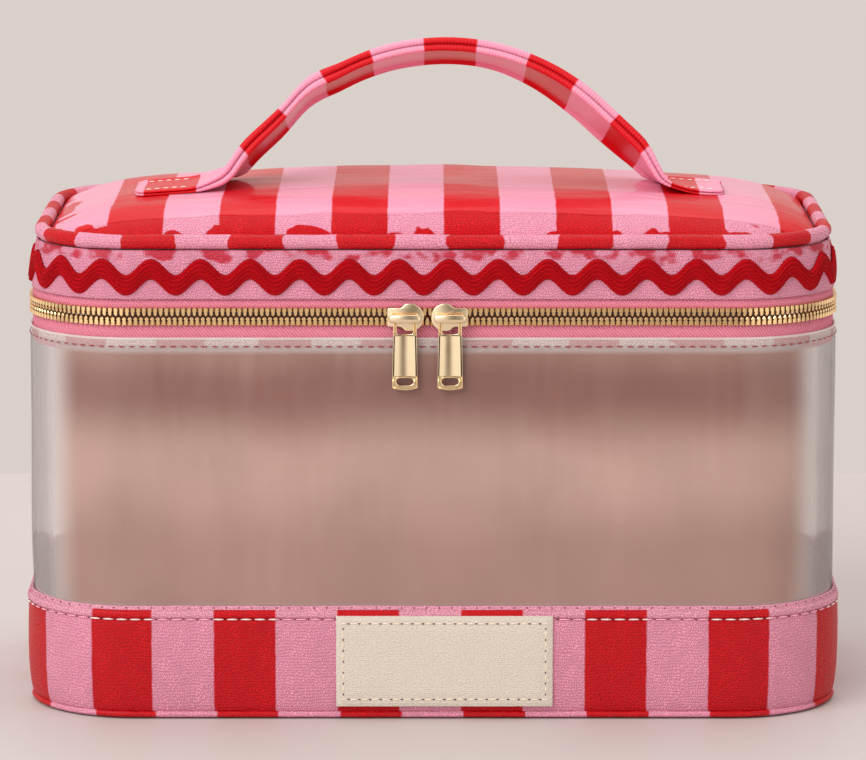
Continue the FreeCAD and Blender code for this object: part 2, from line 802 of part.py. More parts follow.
# Sliders and pulls
PLATE_GAP = "dim.tooth_thickness / 2 + dim.running_clearance"
CHAIN_Y = f"{TAPE_MIDDLE} - dim.case_depth / 2"


def slider_middle(side):
    """Where the round nose of the left (-1) or right (1) slider has its centre."""
    return f"dim.meet_shift + {side} * (dim.nose_gap / 2 + dim.nose_radius)"


def slider_outline(sketch, side):
    """Round nose towards the other slider and a narrower tail away from it."""
    radius = number("dim.nose_radius")
    nose_turn = math.pi if side > 0 else 0.0
    circle = Part.Circle(Vector(), Vector(0, 0, 1), radius)
    spread = math.radians(number("dim.nose_angle"))
    arc = sketch.addGeometry(Part.ArcOfCircle(circle, nose_turn - spread, nose_turn + spread))
    sketch.addConstraint(Sketcher.Constraint("Coincident", arc, 3, -1, 1))
    drive(sketch, Sketcher.Constraint("Radius", arc, radius), "dim.nose_radius")
    back = f"{side} * (dim.slider_length - dim.nose_radius)"
    shoulder = f"{side} * (dim.slider_length - dim.nose_radius - dim.tail_length)"
    above = "dim.tail_height / 2" if side < 0 else "-dim.tail_height / 2"
    below = "-dim.tail_height / 2" if side < 0 else "dim.tail_height / 2"
    corners = ((shoulder, above), (back, above), (back, below), (shoulder, below))
    places = [sketch.getPoint(arc, 2)]
    places += [Vector(number(x), number(y)) for x, y in corners]
    places.append(sketch.getPoint(arc, 1))
    lines = [sketch.addGeometry(Part.LineSegment(*pair)) for pair in zip(places, places[1:])]
    sketch.addConstraint(Sketcher.Constraint("Coincident", arc, 2, lines[0], 1))
    for index, corner in enumerate(corners):
        sketch.addConstraint(Sketcher.Constraint("Coincident", lines[index], 2, lines[index + 1], 1))
        lock_point(sketch, lines[index], 2, *corner)
    sketch.addConstraint(Sketcher.Constraint("Coincident", lines[-1], 2, arc, 1))
    reach = f"{-side} * dim.nose_radius * cos(dim.nose_angle * 1 deg)"
    for end in (1, 2):
        drive(sketch, Sketcher.Constraint("DistanceX", -1, 1, arc, end, number(reach)), reach)


def make_slider(name, side):
    """Slider: a plate on each side of the chain, a guide web between the rows and lips under them."""
    body = new_body(f"slider_body_{name}")
    front = new_sketch(body, "XZ_Plane", PLATE_GAP)
    slider_outline(front, side)
    pad(body, front, "dim.slider_plate")
    web = new_sketch(body, "XZ_Plane", PLATE_GAP)
    web_near = f"{-side} * (dim.nose_radius - dim.web_wall)"
    web_far = f"{-side} * (dim.nose_radius - dim.web_wall - dim.web_length)"
    rectangle(web, web_far, web_near, "-dim.web_wall / 2", "dim.web_wall / 2")
    pad(body, web, f"2 * ({PLATE_GAP})", backwards=True)
    back = new_sketch(body, "XZ_Plane", f"-({PLATE_GAP})")
    slider_outline(back, side)
    pad(body, back, "dim.slider_plate", backwards=True)
    lip_top = "-(dim.row_slot / 2 + dim.tooth_height + dim.running_clearance)"
    lip_depth = f"{PLATE_GAP} - dim.tape_wall / 2 - dim.running_clearance"
    for offset, backwards in ((PLATE_GAP, True), (f"-({PLATE_GAP})", False)):
        lip = new_sketch(body, "XZ_Plane", offset)
        rectangle(
            lip,
            "-dim.lip_length / 2",
            "dim.lip_length / 2",
            f"{lip_top} - dim.lip_height",
            lip_top,
        )
        pad(body, lip, lip_depth, backwards=backwards)
    place(body, slider_middle(side), CHAIN_Y, "dim.chain_height")


def bail_place(side):
    """Middle of the bail's bar, which is the line that the pull swings about."""
    x = f"{slider_middle(side)} + {side} * dim.bail_back"
    y = f"{CHAIN_Y} - ({PLATE_GAP}) - dim.slider_plate - dim.bail_stand"
    return x, y, "dim.chain_height"


def make_bail(name, side):
    """A bar on two feet that stands off the slider's front plate."""
    body = new_body(f"slider_bail_{name}")
    sketch = new_sketch(body, "XY_Plane")
    half = "dim.bail_length / 2"
    inside = f"{half} - dim.bail_foot"
    polygon(
        sketch,
        (
            (f"-({half})", "-dim.bail_wall / 2"),
            (half, "-dim.bail_wall / 2"),
            (half, "dim.bail_stand"),
            (inside, "dim.bail_stand"),
            (inside, "dim.bail_wall / 2"),
            (f"-({inside})", "dim.bail_wall / 2"),
            (f"-({inside})", "dim.bail_stand"),
            (f"-({half})", "dim.bail_stand"),
        ),
    )
    base = pad(body, sketch, "dim.bail_height", midplane=True)
    doc.recompute()
    names = []
    half_height = number("dim.bail_height / 2")
    for index, edge in enumerate(base.Shape.Edges, 1):
        box = edge.BoundBox
        along_bar = box.XLength > box.YLength + box.ZLength
        on_rim = abs(abs(box.ZMax) - half_height) < Part.Precision.confusion()
        if along_bar and on_rim and box.YMax < number("dim.bail_stand / 2"):
            names.append(f"Edge{index}")
    round_off = body.newObject("PartDesign::Fillet", f"{body.Label}_round")
    round_off.Base = (base, names)
    round_off.setExpression("Radius", "min(dim.bail_round; dim.bail_wall / 3)")
    place(body, *bail_place(side))


def make_pull(name, side):
    """A tapered plate that hangs behind the bail's bar by the top bar of its eye."""
    body = new_body(f"pull_{name}")
    sketch = new_sketch(body, "XZ_Plane", "-(dim.pull_offset + dim.pull_wall / 2)")
    polygon(
        sketch,
        (
            ("-dim.pull_bottom_width / 2", "-dim.pull_length"),
            ("dim.pull_bottom_width / 2", "-dim.pull_length"),
            ("dim.pull_top_width / 2", "dim.pull_head"),
            ("-dim.pull_top_width / 2", "dim.pull_head"),
        ),
    )
    rectangle(
        sketch,
        "-dim.eye_width / 2",
        "dim.eye_width / 2",
        "-(dim.eye_top + dim.eye_height)",
        "-dim.eye_top",
    )
    pad(body, sketch, "dim.pull_wall")
    doc.recompute()
    slot = new_sketch(body, "XZ_Plane", "dim.cut_overrun")
    slot_outline(slot)
    doc.recompute()
    cut_through(body, slot, both_ways=True)
    place(body, *bail_place(side))


def slot_outline(sketch):
    """A round-ended slot across the pull near its lower end."""
    radius = number("dim.slot_height / 2")
    core = "(dim.slot_width - dim.slot_height) / 2"
    drop = number("-dim.slot_drop")
    arcs = []
    for side, turn in ((1, 0.0), (-1, math.pi)):
        circle = Part.Circle(Vector(side * number(core), drop), Vector(0, 0, 1), radius)
        quarter = math.pi / 2
        arcs.append(sketch.addGeometry(Part.ArcOfCircle(circle, turn - quarter, turn + quarter)))
    for first, second in (arcs, arcs[::-1]):
        ends = (sketch.getPoint(first, 2), sketch.getPoint(second, 1))
        line = sketch.addGeometry(Part.LineSegment(*ends))
        sketch.addConstraint(Sketcher.Constraint("Tangent", first, 2, line, 1))
        sketch.addConstraint(Sketcher.Constraint("Tangent", line, 2, second, 1))
    lock_point(sketch, arcs[0], 3, core, "-dim.slot_drop")
    lock_point(sketch, arcs[1], 3, f"-({core})", "-dim.slot_drop")
    drive(sketch, Sketcher.Constraint("Radius", arcs[0], radius), "dim.slot_height / 2")


def check_and_write():
    doc.recompute()
    for item in doc.Objects:
        if "Invalid" in item.State or "Error" in item.State:
            raise ValueError(f"{item.Label} failed")
    for piece in pieces:
        if piece.Shape.isNull() or not piece.Shape.isValid() or not piece.Shape.Solids:
            raise ValueError(f"{piece.Label} has no sound solid")
    os.makedirs("parts", exist_ok=True)
    for piece in pieces:
        piece.Shape.exportStep(f"parts/{piece.Label}.step")


make_base()
make_window()
make_patch()
make_tapes()
make_teeth()
make_stops()
make_lid()
make_trim()
make_handle()
make_tabs()
for slider_name, slider_side in (("left", -1), ("right", 1)):
    make_slider(slider_name, slider_side)
    make_bail(slider_name, slider_side)
    make_pull(slider_name, slider_side)
check_and_write()
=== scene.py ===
import math

import bmesh
import bpy
from mathutils import Matrix, Vector, noise
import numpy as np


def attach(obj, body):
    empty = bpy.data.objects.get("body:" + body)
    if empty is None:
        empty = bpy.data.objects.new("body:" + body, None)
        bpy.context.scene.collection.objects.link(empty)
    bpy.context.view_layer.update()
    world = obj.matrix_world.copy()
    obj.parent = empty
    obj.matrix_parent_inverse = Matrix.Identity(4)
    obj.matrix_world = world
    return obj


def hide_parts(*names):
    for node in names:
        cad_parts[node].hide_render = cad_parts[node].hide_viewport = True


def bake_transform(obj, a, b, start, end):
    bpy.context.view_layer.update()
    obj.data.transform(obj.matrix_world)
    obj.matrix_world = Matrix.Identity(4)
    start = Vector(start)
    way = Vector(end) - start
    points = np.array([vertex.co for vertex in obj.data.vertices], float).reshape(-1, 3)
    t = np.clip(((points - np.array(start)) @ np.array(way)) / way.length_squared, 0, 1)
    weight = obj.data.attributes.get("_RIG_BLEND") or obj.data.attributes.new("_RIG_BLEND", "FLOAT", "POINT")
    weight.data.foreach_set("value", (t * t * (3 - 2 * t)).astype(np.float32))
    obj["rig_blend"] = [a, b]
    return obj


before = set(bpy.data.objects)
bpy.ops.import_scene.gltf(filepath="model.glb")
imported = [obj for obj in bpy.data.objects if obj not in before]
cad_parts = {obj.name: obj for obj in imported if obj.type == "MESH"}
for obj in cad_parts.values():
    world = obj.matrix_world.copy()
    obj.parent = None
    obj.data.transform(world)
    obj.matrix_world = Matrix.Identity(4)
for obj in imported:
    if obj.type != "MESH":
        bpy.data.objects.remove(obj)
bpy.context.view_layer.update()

# Sizes in millimetres; a piece is turned into metres when it is finished.
MM = 0.001
HALF_X = 145.0
HALF_Y = 76.0
CORNER = 40.0
RUN_X = HALF_X - CORNER
RUN_Y = HALF_Y - CORNER
QUARTER = CORNER * math.pi / 2
ROUND = 4 * (RUN_X + RUN_Y + QUARTER)
PLAN_RUNS = (RUN_X, 2 * RUN_Y, 2 * RUN_X, 2 * RUN_Y, RUN_X)
STRAIGHTS = sum(PLAN_RUNS)
GRID_STEP = 7.85
UPRIGHT = Matrix.Rotation(math.pi / 2, 3, "X")
RIGHT = Vector((1, 0, 0))
UP = Vector((0, 0, 1))

# Zipper and hinge; a gap is half of the back run that a piece leaves open
CHAIN_Y = -72.6
CHAIN_Z = 143.2
CHAIN_INSET = 3.4
CHAIN_PITCH = 1.95
CHAIN_GAP = 91.0
TAPE_GAP = 88.4
FACING_GAP = 88.5
PULL_Y = -78.8
HINGE_WIDTH = 176.0
HINGE_HEIGHT = 22.9
HINGE_Y = 73.2
HINGE_Z = 141.55

# Lid and handle
LID_LOW = 149.1
LID_EDGE = 167.8
LID_FLAT = 182.0
FOAM_LOW = 167.0
FOAM_DEPTH = 1.6
BRAID_Z = 156.9
BRAID_SWING = 2.8
PIVOT_Z = 184.4
STRAP_HALF = 17.0

# Patch
PATCH_X = 4.0
PATCH_Z = 21.2
PATCH_WIDTH = 76.0
PATCH_HEIGHT = 32.4

# Stripes: their width, and the middle of a pink one
BAND_STRIPES = (21.7, -1.0)
LID_STRIPES = (19.6, -6.0)
STRAP_STRIPES = (19.1, 108.4)


def srgb(red, green, blue):
    """A picture colour of 0 to 255 as a shader colour."""
    def linear(value):
        value /= 255
        return value / 12.92 if value <= 0.04045 else ((value + 0.055) / 1.055) ** 2.4
    return (linear(red), linear(green), linear(blue), 1.0)


RED = srgb(218, 12, 26)
PINK = srgb(250, 162, 190)
TAPE_PINK = srgb(246, 144, 168)
BRAID_RED = srgb(196, 4, 20)
CREAM = srgb(224, 213, 200)
HAZE_PALE = srgb(192, 158, 146)
HAZE_DEEP = srgb(144, 104, 96)
THREAD = srgb(248, 228, 224)
DEEP_THREAD = srgb(156, 34, 48)


# Finishes
class Wire:
    """A value that runs between the nodes of a finish."""

    def __init__(self, finish, socket):
        self.finish = finish
        self.socket = socket

    def math(self, operation, first, second):
        return self.finish.node("ShaderNodeMath", {0: first, 1: second}, operation=operation)

    def __add__(self, other):
        return self.math("ADD", self, other)

    __radd__ = __add__

    def __sub__(self, other):
        return self.math("SUBTRACT", self, other)

    def __rsub__(self, other):
        return self.math("SUBTRACT", other, self)

    def __mul__(self, other):
        return self.math("MULTIPLY", self, other)

    __rmul__ = __mul__

    def __abs__(self):
        return self.math("ABSOLUTE", self, 0.0)


class Finish:
    """A material, or the studio's sky, and the nodes that make its look."""

    def __init__(self, owner):
        owner.use_nodes = True
        self.owner = owner
        self.tree = owner.node_tree
        self.tree.nodes.clear()
        self.place = self.node("ShaderNodeTexCoord", {}, "Object")
        self.x, self.y, self.z = [number * 1000.0 for number in self.parts(self.place)]
        self.along, self.across, _ = self.parts(self.node("ShaderNodeTexCoord", {}, "UV"))

    def node(self, kind, sockets, output=0, **settings):
        """Any node: its type, the values or links of its sockets, its output and its settings."""
        made = self.tree.nodes.new(kind)
        for name, value in settings.items():
            setattr(made, name, value)
        for key, value in sockets.items():
            if isinstance(value, Wire):
                self.tree.links.new(value.socket, made.inputs[key])
            else:
                made.inputs[key].default_value = value
        return Wire(self, made.outputs[output])

    def parts(self, vector):
        """A vector's three numbers."""
        return [self.node("ShaderNodeSeparateXYZ", {0: vector}, index) for index in range(3)]

    def point(self, x, y, z):
        return self.node("ShaderNodeCombineXYZ", {0: x, 1: y, 2: z})

    def spots(self, size, place):
        """Where a pattern lies and its scale, for spots of a size in millimetres."""
        if place is None:
            return {"Vector": self.place, "Scale": 1000.0 / size}
        return {"Vector": place, "Scale": 1.0 / size}

    def grain(self, size, detail=2.0, place=None, rough=0.5, twist=0.0):
        """Soft noise of about 0 to 1."""
        sockets = {"Detail": detail, "Roughness": rough, "Distortion": twist}
        return self.node("ShaderNodeTexNoise", {**self.spots(size, place), **sockets})

    def pebbles(self, size, place=None):
        """Distance to the nearest of many small cells, for a pebbled face; a place is flat."""
        sockets = {**self.spots(size, place), "Smoothness": 0.2, "Randomness": 0.55}
        ways = "2D" if place else "3D"
        return self.node("ShaderNodeTexVoronoi", sockets, feature="SMOOTH_F1", voronoi_dimensions=ways)

    def ease(self, value, low, high, to_low=0.0, to_high=1.0):
        """Eased step from low to high."""
        sockets = {"Value": value, 1: low, 2: high, 3: to_low, 4: to_high}
        return self.node("ShaderNodeMapRange", sockets, interpolation_type="SMOOTHSTEP")

    def wave(self, value):
        return self.node("ShaderNodeMath", {0: value}, operation="COSINE")

    def mix(self, share, first, second, blend="MIX"):
        """Colours mixed by a share."""
        sockets = {0: share, 6: first, 7: second}
        return self.node("ShaderNodeMix", sockets, 2, data_type="RGBA", blend_type=blend)

    def shade(self, colour, share):
        """A colour made lighter or darker."""
        return self.mix(1.0, colour, self.point(share, share, share), "MULTIPLY")

    def bump(self, height, depth, under=None):
        """A raised and hollowed face; depth is in millimetres, and under is the face below it."""
        sockets = {"Height": height, "Distance": depth * MM, "Strength": 1.0}
        if under is not None:
            sockets["Normal"] = under
        return self.node("ShaderNodeBump", sockets)

    def done(self, sockets):
        """Join the shader to the output and give the material."""
        shader = self.node("ShaderNodeBsdfPrincipled", sockets)
        out = self.tree.nodes.new("ShaderNodeOutputMaterial")
        self.tree.links.new(shader.socket, out.inputs["Surface"])
        return self.owner


def new_finish(name):
    return Finish(bpy.data.materials.new(name))


def stripe_share(finish, value, width, middle, wobble=0.25, soft=0.05):
    """1 on the pink stripes and 0 on the red; a pink stripe is centred on the middle."""
    waver = (finish.grain(5.0, 1.0) - 0.5) * (2 * wobble)
    turn = (value - middle + waver) * (math.pi / width)
    return finish.ease(finish.wave(turn), -soft, soft)


def coated_canvas(name, colour_of, ways=None, gloss=0.42, depth=0.3, film=None):
    """Coated cloth with rice-like grains in slanting rows.

    ways gives the directions of the rows, and film the shares that are smooth and that mirror the room.
    """
    finish = new_finish(name)
    across, down = ways(finish) if ways else (finish.along, finish.across)
    sway = (finish.grain(9.0, 1.0) - 0.5) * 5.0
    place = finish.point(across * 1.25 + down * 0.5 + sway, down * 0.75 - sway * 0.4, 0.0)
    cells = finish.pebbles(0.8, place)
    grain = finish.ease(cells, 0.1, 0.5, 1.0, 0.0)
    height = grain + finish.grain(0.4, 2.0) * 0.25
    broad = finish.grain(26.0, 3.0)
    # Partly painted light: the tone is lighter on the grains and darker in the gaps between them, partly the
    # cloth's own tone and partly painted highlight and painted shade beyond what the bump gives
    tone = 0.63 + grain * 0.62 + (broad - 0.5) * 0.12
    if film:
        smooth, wash = film(finish)
        tone = tone + (0.9 - tone) * (smooth * 0.75)
        folds = finish.grain(1.0, 2.0, finish.point(finish.x * 0.03, finish.y * 0.1, 4.0), 0.4, 0.8)
        grained = finish.bump(height * (1.0 - smooth * 0.85), depth)
        normal = finish.bump(folds * smooth, 1.8, grained)
        sheen, coat, coat_rough = 0.1, 0.04 + smooth * 0.1 + wash * 0.3, 0.07
    else:
        normal = finish.bump(height, depth)
        sheen, coat, coat_rough = 0.2, 0.1, 0.2
    return finish.done({
        "Base Color": finish.shade(colour_of(finish), tone),
        "Roughness": gloss + (broad - 0.5) * 0.14 + cells * 0.1,
        "Specular IOR Level": sheen,
        "Coat Weight": coat,
        "Coat Roughness": coat_rough,
        "Normal": normal,
    })


def lid_film(finish):
    """The lid's film is smooth from just behind the front slope, and mirrors the room further back."""
    waver = finish.grain(30.0, 2.0) - 0.5
    long = finish.grain(1.0, 2.0, finish.point(finish.x * 0.02, finish.y * 0.05, 6.0)) - 0.5
    smooth = finish.ease(finish.y + waver * 5.0, -58.2, -56.8)
    wash = finish.ease(finish.y + long * 60.0, -16.0, -10.0)
    return smooth, wash


def round_stripes(width, middle, wobble=0.25, red=RED, pink=PINK):
    """Stripes that follow the cloth's length."""
    def colour(finish):
        return finish.mix(stripe_share(finish, finish.along, width, middle, wobble), red, pink)
    return colour


def lid_stripes(finish):
    """Stripes from the front of the lid to its back, with odd patches where the slope meets the piping."""
    share = stripe_share(finish, finish.x, *LID_STRIPES, 0.3)
    spots = finish.grain(1.0, 2.0, finish.point(finish.x * 0.08, finish.y * 0.09, 7.0), 0.5)
    low = 1.0 - finish.ease(finish.z, 170.0, 178.0)
    patch = finish.ease(spots * 0.7 + low * 0.3, 0.62, 0.64)
    return finish.mix(share * (1.0 - patch), RED, PINK)


def pink_with_patches(finish):
    """Pink cloth that shows odd red patches along its upper edge."""
    spots = finish.grain(1.0, 2.0, finish.point(finish.along * 0.1, finish.z * 0.14, 3.0), 0.55)
    high = finish.ease(finish.z, 157.5, 164.5)
    share = finish.ease(spots * 0.75 + high * 0.25, 0.58, 0.68)
    return finish.mix(share, PINK, srgb(222, 62, 84))


def binding_colour(finish):
    """Striped like the band below it, and pink round the corners and on the fold behind."""
    share = stripe_share(finish, finish.along, *BAND_STRIPES, 0.4)
    front = finish.ease(abs(finish.along), 119.6, 120.6)
    side = finish.ease(abs(finish.along), 158.0, 166.0)
    corner = front * (1.0 - side)
    fold = finish.ease(finish.z, 39.2, 39.4)
    plain = corner + fold * (1.0 - corner)
    pink = share + (1.0 - share) * plain
    return finish.mix(pink, RED, srgb(244, 166, 190))


def twill(name, colour):
    """Woven tape with slanting ribs."""
    finish = new_finish(name)
    size = 1.25
    fuzz = finish.grain(0.6, 2.0)
    slant = finish.wave((finish.along + finish.across * 0.8 + fuzz * 0.5) * (math.tau / size))
    cross = finish.wave((finish.along - finish.across * 1.3) * (math.tau / (size * 0.7)))
    broad = finish.grain(18.0, 2.0)
    tone = finish.shade(colour, 0.9 + slant * 0.14 + cross * 0.06 + broad * 0.1)
    return finish.done({
        "Base Color": tone,
        "Roughness": 0.75 + (fuzz - 0.5) * 0.1,
        "Specular IOR Level": 0.2,
        "Normal": finish.bump(slant * 0.5 + cross * 0.25 + fuzz * 0.5, 0.3),
    })


def braid():
    """Thick woven braid of a few cords with slanting yarns."""
    finish = new_finish("red_braid")
    fuzz = finish.grain(0.5, 3.0)
    yarn = finish.wave((finish.along + abs(finish.across) * 0.9 + fuzz * 0.4) * math.tau)
    cords = finish.wave((finish.across + 1.6 + fuzz * 0.5) * (5 * math.pi / 6.4))
    # Painted shade: the grooves between the cords are painted darker
    tone = finish.shade(BRAID_RED, 0.74 + cords * 0.07 + yarn * 0.1 + fuzz * 0.46)
    return finish.done({
        "Base Color": tone,
        "Roughness": 0.8 + (fuzz - 0.5) * 0.12,
        "Specular IOR Level": 0.12,
        "Normal": finish.bump(cords * 0.5 + yarn * 0.5 + fuzz, 0.35),
    })


def brass(name, pale, deep, gloss):
    """Pale satin brass."""
    finish = new_finish(name)
    broad = finish.grain(5.0, 2.0)
    return finish.done({
        "Base Color": finish.mix(broad, deep, pale),
        "Metallic": 1.0,
        "Roughness": gloss + (broad - 0.5) * 0.06,
    })


def plain_cloth(name, colour, size=0.7, gloss=0.82, depth=0.12):
    """Plain-woven cloth or board with a fine even grain."""
    finish = new_finish(name)
    warp = finish.wave((finish.x + finish.y) * (math.tau / size))
    weft = finish.wave((finish.x - finish.y + finish.z) * (math.tau / size))
    fibre = finish.grain(0.8, 3.0)
    broad = finish.grain(30.0, 2.0)
    tone = finish.shade(colour, 0.88 + fibre * 0.12 + broad * 0.1)
    return finish.done({
        "Base Color": tone,
        "Roughness": gloss + (fibre - 0.5) * 0.1,
        "Normal": finish.bump(warp * weft * 0.5 + fibre * 0.5, depth),
    })


def patch_canvas():
    """Cream coated cloth with a coarse pebble."""
    finish = new_finish("patch_canvas")
    cells = finish.pebbles(0.7)
    grain = finish.ease(cells, 0.2, 0.75, 1.0, 0.0)
    fine = finish.grain(0.4, 2.0)
    broad = finish.grain(16.0, 3.0)
    return finish.done({
        "Base Color": finish.shade(CREAM, 0.84 + grain * 0.14 + broad * 0.06),
        "Roughness": 0.55 + cells * 0.15,
        "Specular IOR Level": 0.25,
        "Normal": finish.bump(grain + fine * 0.3, 0.16),
    })


def thread(name, colour, on_pink=None):
    """Twisted sewing thread; on_pink is its colour where it sinks into the pink stripes of the band."""
    finish = new_finish(name)
    twist = finish.grain(0.35, 2.0)
    if on_pink:
        colour = finish.mix(stripe_share(finish, finish.x, *BAND_STRIPES), colour, on_pink)
    return finish.done({
        "Base Color": finish.shade(colour, 0.86 + twist * 0.25),
        "Roughness": 0.6 + (twist - 0.5) * 0.2,
        "Normal": finish.bump(twist, 0.1),
    })


def clear_vinyl():
    """Hazy clear vinyl, glossy and clearer near the corners and seams."""
    finish = new_finish("clear_vinyl")
    distance = abs(finish.along)
    bend = 150.0
    front_corner = 1.0 - finish.ease(abs(distance - bend), 6.0, 25.0)
    back_corner = 1.0 - finish.ease(abs(distance - (ROUND / 2 - bend)), 6.0, 25.0)
    low = finish.ease(finish.z, 38.0, 42.0)
    high = 1.0 - finish.ease(finish.z, 129.5, 132.8)
    haze = low * high * (1.0 - front_corner) * (1.0 - back_corner)
    # Painted highlight: a whiter, more opaque line along the vinyl's top edge, where its rounded edge catches
    # the light
    rim = finish.ease(finish.z, 134.9, 135.3)
    cloud = finish.grain(40.0, 2.0, None, 0.45)
    # Painted shade and painted reflection: palest at half height, darker towards the foot where the base band
    # is reflected, deepest in the painted shade below the zipper
    height = finish.z + (cloud - 0.5) * 12.0
    middle = finish.ease(height, 60.0, 88.0, 0.5, 1.0)
    lit = finish.ease(height, 92.0, 116.0, 1.0, 0.0)
    top = finish.ease(height, 120.0, 132.0, 0.0, 0.3)
    tone = finish.mix(middle * lit + top, HAZE_DEEP, HAZE_PALE)
    tone = finish.mix(haze, srgb(232, 224, 220), finish.shade(tone, 0.84 + cloud * 0.32))
    crease = finish.grain(1.0, 2.0, finish.point(finish.along * 0.05, finish.z * 0.012, 1.0))
    ripple = finish.grain(30.0, 1.0)
    return finish.done({
        "Base Color": finish.mix(rim, tone, srgb(238, 222, 220)),
        "Roughness": 0.06 + haze * 0.12 + (ripple - 0.5) * 0.03,
        "Alpha": 0.24 + haze * 0.6 + rim * 0.3,
        "Specular IOR Level": 0.5,
        "Coat Weight": 0.3,
        "Coat Roughness": 0.04,
        "Normal": finish.bump(crease + ripple * 0.4, 1.6),
    })


def strap_canvas():
    """Striped strap, plain and glossy on its faces, with fine ribs across the rolls at its edges."""
    finish = new_finish("striped_canvas_strap")
    # The stripes draw together towards the right end.
    late = finish.along.math("MAXIMUM", finish.along - 190.0, 0.0)
    share = stripe_share(finish, finish.along + late * late * 0.0125, *STRAP_STRIPES, 0.3)
    # How far a point lies from the groove between the two rolls of its edge
    place = abs(abs(finish.across - 52.8) - 19.7)
    edge = 1.0 - finish.ease(place, 4.2, 5.0)
    groove = 1.0 - finish.ease(place, 0.2, 1.0)
    ribs = finish.wave(finish.along * (math.tau / 1.2)) * 0.5 + 0.5
    fine = finish.grain(0.5, 2.0)
    broad = finish.grain(16.0, 3.0)
    # Painted shade: the groove between the two rolls of each edge is painted darker
    tone = 0.9 + (broad - 0.5) * 0.14 + edge * ribs * 0.06 - groove * 0.35
    return finish.done({
        "Base Color": finish.shade(finish.mix(share, RED, PINK), tone),
        "Roughness": 0.36 + edge * 0.14 + (broad - 0.5) * 0.1,
        "Specular IOR Level": 0.25,
        "Coat Weight": 0.1 - edge * 0.06,
        "Coat Roughness": 0.12,
        "Normal": finish.bump(edge * ribs * 0.5 + fine * 0.3 + broad * 1.5, 0.2),
    })


def lid_ways(finish):
    """The rows of the lid's grain run over its slopes as well as its flat."""
    return finish.x, finish.y + finish.z * 0.7


BAND_CANVAS = coated_canvas("striped_canvas_band", round_stripes(*BAND_STRIPES))
ROLL_CANVAS = coated_canvas("striped_canvas_roll", round_stripes(21.7, -0.1, 0.5), depth=0.2)
LID_CANVAS = coated_canvas("striped_canvas_lid", lid_stripes, lid_ways, gloss=0.38, depth=0.2, film=lid_film)
PIPING_CANVAS = coated_canvas("striped_canvas_piping", round_stripes(19.0, -4.0, 2.6), depth=0.2)
BINDING_CANVAS = coated_canvas("striped_canvas_binding", binding_colour, depth=0.2)
STRAP_CANVAS = strap_canvas()
FACING_STRIPES = round_stripes(18.0, 2.0, 3.5, srgb(196, 64, 78), srgb(222, 192, 190))
FACING_CANVAS = coated_canvas("striped_canvas_facing", FACING_STRIPES, depth=0.1)
LID_BAND_CANVAS = coated_canvas("pink_canvas", pink_with_patches, depth=0.34)
TAPE = twill("zip_tape", TAPE_PINK)
BRAID = braid()
BRASS = brass("brass", srgb(248, 230, 198), srgb(240, 214, 170), 0.2)
TEETH_BRASS = brass("brass_teeth", srgb(252, 220, 170), srgb(246, 206, 150), 0.26)
PATCH = patch_canvas()
PALE_THREAD = thread("pale_thread", THREAD)
BAND_THREAD = thread("band_thread", THREAD, srgb(246, 170, 190))
RED_THREAD = thread("red_thread", DEEP_THREAD)
PATCH_THREAD = thread("patch_thread", srgb(240, 222, 196))
# Needle holes: dark spots of painted shade, standing for the shade inside each hole
HOLE_SHADE = thread("needle_hole_shade", srgb(92, 66, 52))
RED_HOLE_SHADE = thread("red_needle_hole_shade", srgb(112, 14, 26))
VINYL = clear_vinyl()
LINING = plain_cloth("lining_cloth", srgb(232, 176, 190))
GREYBOARD = plain_cloth("greyboard", srgb(168, 160, 150), 1.4, 0.9)
FOAM = plain_cloth("foam", srgb(226, 218, 198), 1.8, 0.95, 0.3)


# Shapes
def clamp(value):
    """A value held between 0 and 1."""
    return min(1.0, max(0.0, value))


def ease(value):
    """Smooth step of a value from 0 to 1."""
    share = clamp(value)
    return share * share * (3 - 2 * share)


def new_verts(made):
    """The vertices among what an operator made."""
    return [item for item in made if isinstance(item, bmesh.types.BMVert)]


